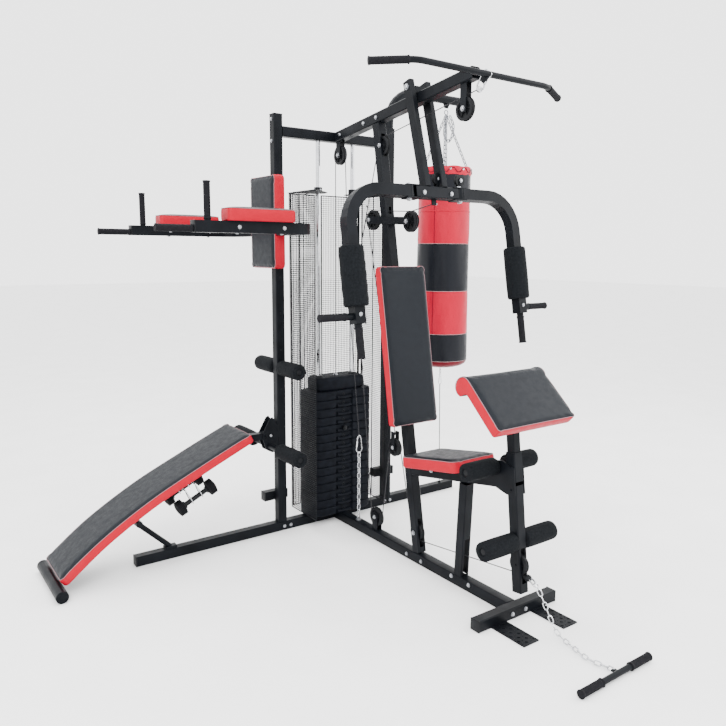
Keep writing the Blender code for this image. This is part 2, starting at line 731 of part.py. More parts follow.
def butterfly_arm(side, arm_name, foam_name):
    """One arm: out from its knuckle, down through the bend, and the two grips at its foot."""
    matrix = axes_matrix(X_AXIS * side, X_AXIS.cross(LEAN) * side, PRESS_BAR)
    bend = arc((ARM_X - ARM_BEND, -ARM_BEND), ARM_BEND, 90, 0, 8)
    path = [(KNUCKLE_X + 0.005, 0)] + bend + [(ARM_X, -ARM_LENGTH)]
    tube = bent_square_tube(path, matrix)
    pin = PRESS_BAR + X_AXIS * side * KNUCKLE_X
    knuckle = rod(pin - LEAN * (HALF - 0.0003), pin + LEAN * (HALF - 0.0003), HALF - 0.0005, 20)
    foot = PRESS_BAR + X_AXIS * side * ARM_X - LEAN * (ARM_LENGTH - 0.030)
    grip = rod(foot + X_AXIS * side * 0.020, foot + X_AXIS * side * 0.185, 0.015)
    handle = rod(foot + LEAN * 0.010, foot - LEAN * 0.175, 0.0165)
    plug = box((0.048, 0.048, 0.016), foot - LEAN * 0.022, along=LEAN)
    hole = rod(pin - LEAN * 0.04, pin + LEAN * 0.04, 0.0064)
    vent = rod(foot + Y_AXIS * 0.060 + LEAN * 0.020, foot + LEAN * 0.020, 0.004, 8)
    arm = cut(join(tube, knuckle, plug, grip, handle), hole, vent)
    node(arm_name, arm, PAINT, origin=pin)

    top = PRESS_BAR + X_AXIS * side * ARM_X - LEAN * 0.240
    low = PRESS_BAR + X_AXIS * side * ARM_X - LEAN * 0.489
    sleeve = rod(low, top, 0.0525, 20)
    core = box((TUBE + 2 * GAP, TUBE + 2 * GAP, 0.40), (low + top) / 2, along=LEAN)
    node(foam_name, cut(sleeve, core), FOAM, origin=pin)


# Leg developer and low row


def leg_developer():
    top, bottom = column_point(LEG_TOP_Z), column_point(LEG_BOTTOM_Z)
    along = (top - bottom).normalized()
    pivot = column_point(LEG_PIVOT_Z)
    ankle = column_point(ANKLE_Z)
    (y, z), _ = WHEELS["leg"]
    slot = box((0.0235, 0.090, 0.150), column_point(0.228), along=along)
    holes = [
        rod(pivot - X_AXIS * 0.04, pivot + X_AXIS * 0.04, BOLT + 0.0004),
        rod(ankle - X_AXIS * 0.04, ankle + X_AXIS * 0.04, BAR + GAP),
    ]
    tube = cut(square_tube(bottom, top, width=0.049), slot, *holes)
    axle = rod((-0.027, y, z), (0.027, y, z), BOLT)
    node("leg_developer", join(tube, axle), PAINT, origin=pivot)
    node("ankle_roller", foam_roller(ankle, X_AXIS, 0.027, 0.208, 0.040), FOAM, origin=pivot)


def low_row():
    stop = rod((0, -1.424, 0.189), (0, -1.454, 0.189), 0.014)
    route = [
        (0, -1.450, 0.187),
        (0, -1.482, 0.176),
        (0, -1.520, 0.129),
        (0, -1.566, 0.060),
        (-0.004, -1.609, 0.020),
        (-0.017, -1.688, 0.008),
        (-0.036, -1.770, 0.008),
        (-0.024, -1.846, 0.010),
        (-0.028, -1.872, 0.016),
    ]
    ends = [Vector((-0.247, -1.899, 0.0173)), Vector((0.158, -1.899, 0.0173))]
    bar = rod(*ends, 0.0125)
    grips = [rod(ends[0], ends[0] + X_AXIS * 0.120, 0.017), rod(ends[1], ends[1] - X_AXIS * 0.120, 0.017)]
    tab = box((0.020, 0.024, 0.008), (-0.028, -1.8800, 0.0165))
    node("low_row", join(bar, *grips, tab, wire(route, 0.006), stop), PAINT)


# Cushions


def cushions():
    rear, front = Vector((0, -0.746, 0.560)), Vector((0, -1.119, 0.626))
    along = (front - rear).normalized()
    up = Vector((0, along.z, -along.y))
    centre = (rear + front) / 2 - up * SEAT_THICKNESS / 2
    size = (SEAT_WIDTH, (front - rear).length, SEAT_THICKNESS)
    node("seat_pad", soft_box(size, centre, along=up), VINYL)

    along = BACK_TOP - BACK_LOW
    centre = (BACK_TOP + BACK_LOW) / 2 - back_normal() * BACK_THICKNESS / 2
    size = (BACK_WIDTH, BACK_THICKNESS, along.length)
    node("back_pad", soft_box(size, centre, along=along), VINYL)


def preacher():
    bottom, top = column_point(0.600), column_point(0.868)
    post = square_tube(bottom, top, width=0.042, height=0.042)
    pivot = column_point(SOCKET_TOP_Z)
    node("preacher_post", post, PAINT, origin=pivot)

    slope = math.radians(43.6)
    down = Vector((0, -math.cos(slope), -math.sin(slope)))
    out = Vector((0, -math.sin(slope), math.cos(slope)))
    high = Vector((0, -1.257, 1.044))
    length = 0.288
    outline = [(0.0, 0.0), (length - 0.012, 0.0), (length, -0.012), (length, -0.040), (length - 0.010, -0.050)]
    outline += [(0.085, -0.050)]
    outline += arc((0.040, -0.046), 0.046, -70, -270, 8)
    loop = [(high + down * u + out * v) for u, v in outline]
    pad = plate_yz([(point.y, point.z) for point in loop], 0, 0.455)
    node("preacher_pad", pad, VINYL, origin=pivot)


# Knee raise station


def knee_raise():
    bend_x = VKR_BACK_X - VKR_BEND
    inner_y = VKR_ARM_Y - VKR_BEND
    right = arc((bend_x, -inner_y), VKR_BEND, -90, 0)
    left = arc((bend_x, inner_y), VKR_BEND, 0, 90)
    path = [(VKR_FRONT_X, -VKR_ARM_Y)] + right + left + [(VKR_FRONT_X, VKR_ARM_Y)]
    tube = bent_square_tube(path, Matrix.Translation((0, 0, VKR_Z)))
    grips = []
    for side in (-1, 1):
        y = side * VKR_ARM_Y
        grips.append(rod((VKR_FRONT_X + 0.02, y, VKR_Z - 0.009), (-1.142, y, VKR_Z - 0.009), 0.015))
        grips.append(rod((-0.916, y, VKR_Z + HALF - 0.001), (-0.916, y, 1.800), 0.014))
    node("vkr_frame", join(tube, *grips), PAINT)
    for side, name in ((-1, "vkr_arm_pad_front"), (1, "vkr_arm_pad_rear")):
        low = VKR_Z + HALF + GAP
        size = (0.328, 0.100, 1.697 - low)
        node(name, soft_box(size, (-0.674, side * VKR_ARM_Y, (low + 1.697) / 2)), VINYL)
    face, back = -0.4465, -UPRIGHT_X - HALF - GAP
    pad = soft_box((back - face, 0.262, 0.460), ((face + back) / 2, 0, 1.654))
    recess = box((0.060, 0.300, TUBE + 0.001), (VKR_BACK_X + 0.0048, 0, VKR_Z))
    node("vkr_back_pad", cut(pad, recess), VINYL)


def foam_on_uprights():
    middle = Vector((-UPRIGHT_X, 0, 0.903))
    node("upright_roller", foam_roller(middle, Y_AXIS, 0.030, 0.215, 0.040), FOAM)
    middle = Vector((-0.436, 0, 0.490))
    node("bench_leg_roller", foam_roller(middle, Y_AXIS, 0.148, 0.354, 0.039), FOAM)


# Sit-up bench


def smooth_path(points, count=12):
    """Points along a smooth curve through the given ones (Catmull-Rom)."""
    ends = [points[0]] + list(points) + [points[-1]]
    path = []
    for index in range(len(points) - 1):
        p0, p1, p2, p3 = (Vector(ends[index + k]) for k in range(4))
        steps = max(2, count // (len(points) - 1))
        for step in range(steps):
            t = step / steps
            path.append(
                0.5
                * (
                    2 * p1
                    + (p2 - p0) * t
                    + (2 * p0 - 5 * p1 + 4 * p2 - p3) * t * t
                    + (3 * p1 - p0 - 3 * p2 + p3) * t * t * t
                )
            )
    return path + [Vector(points[-1])]


def shifted(path, distance):
    """The path moved to its right by this distance."""
    moved = []
    for index, point in enumerate(path):
        along = (path[min(index + 1, len(path) - 1)] - path[max(index - 1, 0)]).normalized()
        moved.append(point + Vector((along.y, -along.x)) * distance)
    return moved


def bench():
    top = smooth_path(BENCH_TOP)
    bottom = shifted(top, BENCH_THICKNESS)
    board = plate_xz([tuple(p) for p in top] + [tuple(p) for p in reversed(bottom)], 0, BENCH_WIDTH)
    node("bench_pad", board, VINYL, origin=BENCH_PIVOT)

    spine = shifted(top, BENCH_THICKNESS + 0.022)
    spine = [tuple(p) for p in spine[1:]] + [(BENCH_PIVOT.x, BENCH_PIVOT.z)]
    frame = plate_xz(band(spine, 0.035), 0, 0.040)
    eye = rod(BENCH_PIVOT - Y_AXIS * 0.020, BENCH_PIVOT + Y_AXIS * 0.020, 0.022)
    foot_tip = Vector((spine[0][0], 0, spine[0][1]))
    neck = rod(foot_tip + Vector((0.030, 0, -0.004)), BENCH_ROLLER - Z_AXIS * 0.007, 0.007)
    roller = rod(BENCH_ROLLER - Y_AXIS * 0.192, BENCH_ROLLER + Y_AXIS * 0.192, 0.027, 16)
    hole = rod(BENCH_PIVOT - Y_AXIS * 0.03, BENCH_PIVOT + Y_AXIS * 0.03, 0.0065)
    node("bench_frame", cut(join(frame, eye, neck, roller), hole), PAINT, origin=BENCH_PIVOT)


def dumbbells():
    """Two dumbbells that hang side by side under the board, and the clips that hold them."""
    first, second = Vector((-0.955, 0, 0.276)), Vector((-0.799, 0, 0.353))
    along = (second - first).normalized()
    for side, name in ((-1, "dumbbell_front"), (1, "dumbbell_rear")):
        shift = Y_AXIS * side * 0.085
        heads = [
            rod(place + shift - along * 0.022, place + shift + along * 0.022, 0.040, 16)
            for place in (first, second)
        ]
        handle = rod(first + shift, second + shift, 0.014)
        node(name, join(handle, *heads), PLASTIC, origin=(first + second) / 2 + shift)


# Punch bag


def punch_bag():
    start = (UPRIGHT_X, UPRIGHT_TOP + GAP)
    bend = arc((UPRIGHT_X + 0.175, BAG_ARM_Z - 0.175), 0.175, 180, 90, 8)
    path = [(x, 0, z) for x, z in [start] + bend + [(0.880, BAG_ARM_Z)]]
    inner = [(UPRIGHT_X, 0, UPRIGHT_TOP - 0.01)] + path[1:-1] + [(0.90, 0, BAG_ARM_Z)]
    tube = cut(wire(path, HALF, 4), wire(inner, HALF - 0.0025, 4))
    plate = plate_xz([(0.760, 2.379), (0.810, 2.379), (0.797, 2.352), (0.773, 2.352)], 0, 0.006)
    pin = rod((BAG_X, -0.012, BAG_HOOK_Z + 0.012), (BAG_X, 0.012, BAG_HOOK_Z + 0.012), 0.004, 8)
    node("bag_arm", join(tube, plate, pin), PAINT)

    hook = Vector((BAG_X, 0, BAG_HOOK_Z))
    profile = [
        (0.0, 1.975),
        (0.150, 1.975),
        (BAG_RADIUS, 1.960),
        (BAG_RADIUS, 0.857),
        (0.145, 0.826),
        (0.060, 0.806),
        (0.0, 0.805),
    ]
    bag = turned([(r, z) for r, z in profile], (BAG_X, 0, 0), Z_AXIS, 24)
    node("punch_bag", bag, RED, origin=hook)

    ring = hook - Z_AXIS * 0.012
    strands = []
    for index in range(4):
        angle = math.radians(45 + 90 * index)
        corner = Vector((BAG_X + 0.125 * math.cos(angle), 0.125 * math.sin(angle), 1.9800))
        strands.append(rod(ring + (corner - ring) * 0.02, corner, 0.005, 8))
    cap = rod(hook - Z_AXIS * 0.004, hook - Z_AXIS * 0.034, 0.009)
    node("bag_chain", join(cap, *strands), CHROME, origin=hook)

    route = [(BAG_X, 0, 0.796), (BAG_X, 0, 0.686), (BAG_X + 0.002, 0, 0.588), (BAG_X + 0.014, 0, TUBE + GAP)]
    node("bag_tether", wire(route, 0.005), PLASTIC)


base()
uprights()
boom()
leaning_upright()
seat_frame()
weight_stack()
shrouds()
cables()
lat_bar()
press_arm()
butterfly_arm(-1, "butterfly_arm_left", "butterfly_foam_left")
butterfly_arm(1, "butterfly_arm_right", "butterfly_foam_right")
leg_developer()
low_row()
cushions()
preacher()
knee_raise()
foam_on_uprights()
bench()
dumbbells()
punch_bag()
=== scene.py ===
"""The looks of the multi station home gym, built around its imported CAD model.

Metres, Z up, in the CAD frame: X runs along the long base tube, -Y is the side that the seat is on.
"""

import math

import bmesh
import bpy
from mathutils import Matrix, Vector


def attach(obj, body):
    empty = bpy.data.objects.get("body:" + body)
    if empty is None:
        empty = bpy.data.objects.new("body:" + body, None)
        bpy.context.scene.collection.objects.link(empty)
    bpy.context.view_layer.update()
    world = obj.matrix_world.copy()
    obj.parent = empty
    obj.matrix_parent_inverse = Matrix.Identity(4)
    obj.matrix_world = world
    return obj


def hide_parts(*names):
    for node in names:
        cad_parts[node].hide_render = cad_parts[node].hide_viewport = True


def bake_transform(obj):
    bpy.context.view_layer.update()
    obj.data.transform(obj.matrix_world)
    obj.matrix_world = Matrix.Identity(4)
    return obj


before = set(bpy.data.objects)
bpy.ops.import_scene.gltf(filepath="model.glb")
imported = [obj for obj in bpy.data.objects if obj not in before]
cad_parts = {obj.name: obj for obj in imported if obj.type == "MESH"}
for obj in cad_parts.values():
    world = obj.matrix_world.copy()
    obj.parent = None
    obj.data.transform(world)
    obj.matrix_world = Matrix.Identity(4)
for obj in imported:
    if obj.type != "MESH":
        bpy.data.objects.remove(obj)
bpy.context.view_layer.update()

X, Y, Z = Vector((1, 0, 0)), Vector((0, 1, 0)), Vector((0, 0, 1))

# Camera
CAMERA_PLACE = (-2.1354, -3.2476, 1.5094)
CAMERA_TURN, CAMERA_DIP, CAMERA_ROLL = -35.601, 8.991, 0.338  # degrees
CAMERA_LENS = 34.81
FLOOR_REACH = 30

# Shared sizes
TUBE = 0.050
CABLE = 0.0023
LEAN = Vector((0, 0.174, 0.985)).normalized()  # the way that the press arm stands
PRESS_PIVOT = Vector((0, -0.678, 2.240))
PRESS_BAR = Vector((0, -0.808, 1.770))
ARM_X = 0.484
BACK_TOP, BACK_LOW = Vector((0, -0.590, 1.446)), Vector((0, -0.715, 0.689))
PLATE_PITCH = 0.0463
PLATE_SIZE, PLATE_CORNER = (0.405, 0.188), 0.052
HEAD_SIZE, HEAD_CORNER = (0.320, 0.150), 0.040
STACK_BOTTOM, STACK_TOP, CARRIAGE_TOP = 0.0503, 0.751, 0.828
LIFTED_PLATES, RESTING_PLATES = 5, 10
SHROUD_BOTTOM, SHROUD_TOP = 0.078, 1.815
ROD_X = 0.110
BAG = Vector((0.785, 0, 0))
BAG_HOOK_Z = 2.350
BENCH_TOP = [(-1.540, 0.082), (-1.349, 0.231), (-1.118, 0.369), (-0.869, 0.487), (-0.597, 0.608)]
VKR_Z = 1.612
WHEELS = {
    "front_top": ((-0.992, 2.105), 0.050),
    "upright_top": ((-0.428, 2.019), 0.046),
    "rear_top": ((-0.048, 2.014), 0.050),
    "front_mid": ((-0.645, 1.652), 0.050),
    "rear_mid": ((-0.349, 1.668), 0.050),
    "block_upper": ((-0.165, 1.430), 0.046),
    "block_lower": ((-0.165, 1.330), 0.046),
    "base": ((-0.400, 0.122), 0.050),
    "press_block": ((-0.547, 0.536), 0.046),
    "foot": ((-0.735, 0.150), 0.045),
    "leg": ((-1.390, 0.232), 0.045),
}
FIXED_WHEELS = ["front_top", "upright_top", "rear_top", "front_mid", "rear_mid", "base", "foot", "leg"]
CABLE_DEPTH = 0.004
SIDES = (-1, 1)
BRIGHT_NODES = ("guide_rod_left", "guide_rod_right", "selector_pin")
BOOM_START, BOOM_SLOPE = (-0.029, 2.1057), -0.1335 / 1.0193  # the boom's middle line, as (Y, Z)
HOLE_PITCH, HOLE_SIDE = 0.0110, 0.0086
SHEET_MARGIN = 0.003
VKR_ARM_Y = 0.412
DUMBBELL_HEADS = (Vector((-0.955, 0, 0.276)), Vector((-0.799, 0, 0.353)))
DUMBBELL_Y = 0.085

# Pads
SIMULATED_FRAMES = 20
SWELL = 0.003  # what the stuffing adds to a pad's face
SEAM_LEVEL = 1  # the level of points that the piping follows, counted from the face
UNDER_EDGE = 0.004  # how much the edge on the board side is rounded
PIPING_RADIUS = 0.0014

# Punch bag
BAG_TOP, BAG_FOOT = 1.975, 0.857
BAG_SIDES = 72
BAG_DOME = (  # (height, how far in from the bag's side)
    (0.857, 0.0016),
    (0.846, 0.004),
    (0.834, 0.012),
    (0.822, 0.030),
    (0.813, 0.060),
    (0.808, 0.100),
    (0.806, 0.150),
)


# Materials


class Surface:
    """A material whose colour, roughness and bump come from noise in the piece's own space, in metres."""

    def __init__(self, name, colour, roughness, metallic=0.0, specular=0.5):
        self.material = bpy.data.materials.new(name)
        self.material.use_nodes = True
        self.tree = self.material.node_tree
        self.shader = self.tree.nodes["Principled BSDF"]
        self.shader.inputs["Base Color"].default_value = (*colour, 1)
        self.shader.inputs["Roughness"].default_value = roughness
        self.shader.inputs["Metallic"].default_value = metallic
        self.shader.inputs["Specular IOR Level"].default_value = specular
        self.place = self.tree.nodes.new("ShaderNodeTexCoord").outputs["Object"]
        self.bumps = None

    def link(self, start, end):
        self.tree.links.new(start, end)

    def stretched(self, scale):
        mapping = self.tree.nodes.new("ShaderNodeMapping")
        mapping.inputs["Scale"].default_value = scale
        self.link(self.place, mapping.inputs["Vector"])
        return mapping.outputs["Vector"]

    def noise(self, scale, detail=3.0, stretch=(1, 1, 1)):
        texture = self.tree.nodes.new("ShaderNodeTexNoise")
        texture.inputs["Scale"].default_value = scale
        texture.inputs["Detail"].default_value = detail
        self.link(self.stretched(stretch), texture.inputs["Vector"])
        return texture.outputs["Fac"]

    def cells(self, scale, feature="DISTANCE_TO_EDGE"):
        texture = self.tree.nodes.new("ShaderNodeTexVoronoi")
        texture.feature = feature
        texture.inputs["Scale"].default_value = scale
        self.link(self.place, texture.inputs["Vector"])
        return texture.outputs["Distance"]

    def ranged(self, value, low, high, start=0.3, end=0.7):
        node = self.tree.nodes.new("ShaderNodeMapRange")
        node.inputs["From Min"].default_value = start
        node.inputs["From Max"].default_value = end
        node.inputs["To Min"].default_value = low
        node.inputs["To Max"].default_value = high
        self.link(value, node.inputs["Value"])
        return node.outputs["Result"]

    def coloured(self, value, low, high, start=0.3, end=0.7):
        ramp = self.tree.nodes.new("ShaderNodeValToRGB")
        ramp.color_ramp.elements[0].position = start
        ramp.color_ramp.elements[0].color = (*low, 1)
        ramp.color_ramp.elements[1].position = end
        ramp.color_ramp.elements[1].color = (*high, 1)
        self.link(value, ramp.inputs["Fac"])
        self.link(ramp.outputs["Color"], self.shader.inputs["Base Color"])
        return self

    def rough(self, value, low, high):
        self.link(self.ranged(value, low, high), self.shader.inputs["Roughness"])
        return self

    def bump(self, height, strength, distance):
        """Adds one more layer of relief, distance metres deep, over those there already."""
        node = self.tree.nodes.new("ShaderNodeBump")
        node.inputs["Strength"].default_value = strength
        node.inputs["Distance"].default_value = distance
        self.link(height, node.inputs["Height"])
        if self.bumps:
            self.link(self.bumps, node.inputs["Normal"])
        self.bumps = node.outputs["Normal"]
        self.link(self.bumps, self.shader.inputs["Normal"])
        return self


def shaded(colour, factor):
    """The colour made darker or lighter."""
    return tuple(channel * factor for channel in colour)


def powder_coat():
    """Black powder coat on steel: fine pebbles, and a slow change in gloss."""
    look = Surface("powder_coat", (0.003, 0.004, 0.005), 0.4, specular=0.07)
    look.coloured(look.noise(9), (0.0020, 0.0025, 0.0035), (0.0045, 0.0054, 0.0072))
    look.rough(look.noise(14, 5), 0.34, 0.50)
    return look.bump(look.noise(1100, 2), 0.25, 0.0002).material


def polished(name, colour, low, high):
    """Plated steel with faint smears."""
    look = Surface(name, colour, low, metallic=1.0)
    look.coloured(look.noise(60), shaded(colour, 0.82), colour)
    look.rough(look.noise(90, 4), low, high)
    return look.bump(look.noise(400, 2), 0.08, 0.0002).material


def vinyl(name, colour, low=0.36, high=0.52, grain=0.30):
    """Upholstery vinyl: leather grain in two sizes over slow hollows where the foam gives."""
    look = Surface(name, colour, low, specular=0.09)
    look.coloured(look.noise(26, 4), shaded(colour, 0.94), shaded(colour, 1.06))
    look.rough(look.noise(40, 4), low, high)
    look.bump(look.noise(14, 2), 0.10, 0.003)
    look.bump(look.cells(620), grain, 0.0006)
    return look.bump(look.noise(1500, 2), 0.15, 0.0002).material


def closed_foam():
    """Skinned rubber foam: small pores and a few soft dents."""
    look = Surface("closed_foam", (0.004, 0.005, 0.006), 0.82, specular=0.06)
    look.coloured(look.noise(160, 6), (0.0022, 0.0028, 0.0036), (0.0065, 0.0075, 0.0090))
    look.rough(look.noise(120), 0.72, 0.92)
    look.bump(look.noise(45, 2), 0.25, 0.002)
    return look.bump(look.cells(700, "F1"), 0.45, 0.0008).material


def moulded_plastic(name, colour, low=0.38, high=0.55):
    look = Surface(name, colour, low, specular=0.12)
    look.coloured(look.noise(30), shaded(colour, 0.8), shaded(colour, 1.25))
    look.rough(look.noise(50, 4), low, high)
    return look.bump(look.noise(700, 3), 0.20, 0.0003).material


def plate_skin():
    """The textured plastic shell of a filled weight plate, a little dusty."""
    look = Surface("plate_skin", (0.003, 0.004, 0.006), 0.6, specular=0.06)
    look.coloured(look.noise(35, 6), (0.0015, 0.0020, 0.0034), (0.0045, 0.0056, 0.0085))
    look.rough(look.noise(70, 4), 0.50, 0.72)
    look.bump(look.noise(60, 3), 0.3, 0.002)
    return look.bump(look.cells(520, "F1"), 0.4, 0.0007).material


def bag_vinyl(name, colour):
    """Glossy tarpaulin vinyl with tall soft creases and a fine weave under it."""
    look = Surface(name, colour, 0.35, specular=0.12)
    look.coloured(look.noise(12, 4, (1, 1, 0.35)), shaded(colour, 0.84), shaded(colour, 1.10))
    look.rough(look.noise(30, 4), 0.30, 0.46)
    look.bump(look.noise(16, 2, (1, 1, 0.30)), 0.35, 0.006)
    return look.bump(look.noise(900, 2), 0.18, 0.0003).material


def ribbed_rubber():
    """Hand grip rubber, with fine specks."""
    look = Surface("grip_rubber", (0.005, 0.005, 0.006), 0.75, specular=0.08)
    look.coloured(look.noise(220, 5), (0.003, 0.003, 0.004), (0.008, 0.008, 0.010))
    look.rough(look.noise(90), 0.66, 0.85)
    return look.bump(look.cells(480), 0.35, 0.0006).material


PAINT = powder_coat()
CHROME = polished("bright_chrome", (0.56, 0.57, 0.59), 0.10, 0.24)
CHAIN_STEEL = polished("bag_chain_steel", (0.26, 0.27, 0.29), 0.22, 0.38)
ZINC = polished("zinc_bolt", (0.36, 0.37, 0.39), 0.24, 0.40)
FOAM = closed_foam()
GREY_VINYL = vinyl("grey_vinyl", (0.0062, 0.0076, 0.0102))
RED_VINYL = vinyl("red_vinyl", (0.32, 0.0002, 0.0130), 0.34, 0.48, 0.22)
# The piping is a real seam, but its pale colour is a painted highlight: the light line that catches along
# each pad's rolled edge.
PIPING_PAINTED_HIGHLIGHT = vinyl("piping_painted_highlight", (0.19, 0.12, 0.13), 0.45, 0.60, 0.15)
PLASTIC = moulded_plastic("black_plastic", (0.0040, 0.0045, 0.0056))
BACKING = moulded_plastic("black_backing", (0.005, 0.005, 0.006), 0.65, 0.85)
PLATES = plate_skin()
CABLE_COAT = moulded_plastic("cable_coat", (0.016, 0.016, 0.018), 0.28, 0.40)
BAG_BLACK = bag_vinyl("bag_black", (0.0050, 0.0058, 0.0085))
BAG_RED = bag_vinyl("bag_red", (0.38, 0.0002, 0.0200))
BAG_DARK_RED = bag_vinyl("bag_dark_red", (0.10, 0.0005, 0.0060))
THREAD = moulded_plastic("thread", (0.30, 0.24, 0.24), 0.6, 0.8)
GRIP = ribbed_rubber()


# Shapes


def frames(path, closed=False):
    """For each point of the path: the point and two directions across the path that turn only as it turns."""
    path = [Vector(point) for point in path]
    count = len(path)
    result = []
    side = None
    for index, point in enumerate(path):
        if closed:
            along = path[(index + 1) % count] - path[index - 1]
        else:
            along = path[min(index + 1, count - 1)] - path[max(index - 1, 0)]
        along.normalize()
        if side is None:
            start = X if abs(along.x) < 0.9 else Z
            side = start - along * start.dot(along)
        else:
            side = side - along * side.dot(along)
        side.normalize()
        result.append((point, side.copy(), along.cross(side)))
    return result


def turns(count):
    """Angles all the way round, evenly spaced."""
    return [math.tau * index / count for index in range(count)]


def ring(radius, sides):
    """A circle as (across, up) points."""
    return [(radius * math.cos(angle), radius * math.sin(angle)) for angle in turns(sides)]


def circle(centre, across, up, sides):
    """Points round a centre, where across and up are the half axes."""
    return [centre + across * math.cos(angle) + up * math.sin(angle) for angle in turns(sides)]


def rounded_square(width, height, radius, steps=3):
    """The outline of a tube with rounded corners, as (across, up) points in order."""
    outline = []
    for quarter, (sx, sy) in enumerate(((1, 1), (-1, 1), (-1, -1), (1, -1))):
        for step in range(steps + 1):
            angle = math.radians(90 * quarter + 90 * step / steps)
            x = sx * (width / 2 - radius) + radius * math.cos(angle)
            y = sy * (height / 2 - radius) + radius * math.sin(angle)
            outline.append((x, y))
    return outline


def arc(centre, radius, start, end, steps=6):
    angles = [math.radians(start + (end - start) * step / steps) for step in range(steps + 1)]
    return [(centre[0] + radius * math.cos(angle), centre[1] + radius * math.sin(angle)) for angle in angles]


def smooth_path(points, steps=6, closed=False):
    """Points along a smooth curve through the given ones (Catmull-Rom)."""
    points = [Vector(point) for point in points]
    count = len(points)

    def pick(index):
        return points[index % count] if closed else points[min(max(index, 0), count - 1)]

    path = []
    for index in range(count if closed else count - 1):
        p0, p1, p2, p3 = (pick(index + shift) for shift in (-1, 0, 1, 2))
        for step in range(steps):
            t = step / steps
            bend = (2 * p0 - 5 * p1 + 4 * p2 - p3) * t * t + (3 * p1 - p0 - 3 * p2 + p3) * t**3
            path.append(0.5 * (2 * p1 + (p2 - p0) * t + bend))
    return path if closed else path + [points[-1]]


def axes(across, along, centre):
    """Turns local X to across and local Z to along, and puts the origin at centre."""
    along = Vector(along).normalized()
    across = Vector(across)
    across = (across - along * across.dot(along)).normalized()
    turn = Matrix((across, along.cross(across), along)).transposed()
    return Matrix.Translation(Vector(centre)) @ turn.to_4x4()


def any_across(along):
    """A main axis that is clearly off this direction."""
    return X if abs(Vector(along).normalized().x) < 0.9 else Z


def travelled(path):
    """How far along the path each of its points is."""
    marks = [0.0]
    for before, after in zip(path, path[1:]):
        marks.append(marks[-1] + (after - before).length)
    return marks


def stretch(marks, distance):
    """The number of the point that ends the stretch at this distance, and the share of it gone by."""
    distance = min(max(distance, 0.0), marks[-1])
    index = next(i for i in range(1, len(marks)) if marks[i] >= distance - 1e-9)
    return index, (distance - marks[index - 1]) / (marks[index] - marks[index - 1])


def between(path, index, share):
    """The point that lies this share into the stretch that ends at index."""
    return path[index - 1].lerp(path[index], share)


def placed(name, data):
    """A new object with this data, put in the scene."""
    piece = bpy.data.objects.new(name, data)
    bpy.context.scene.collection.objects.link(piece)
    return piece


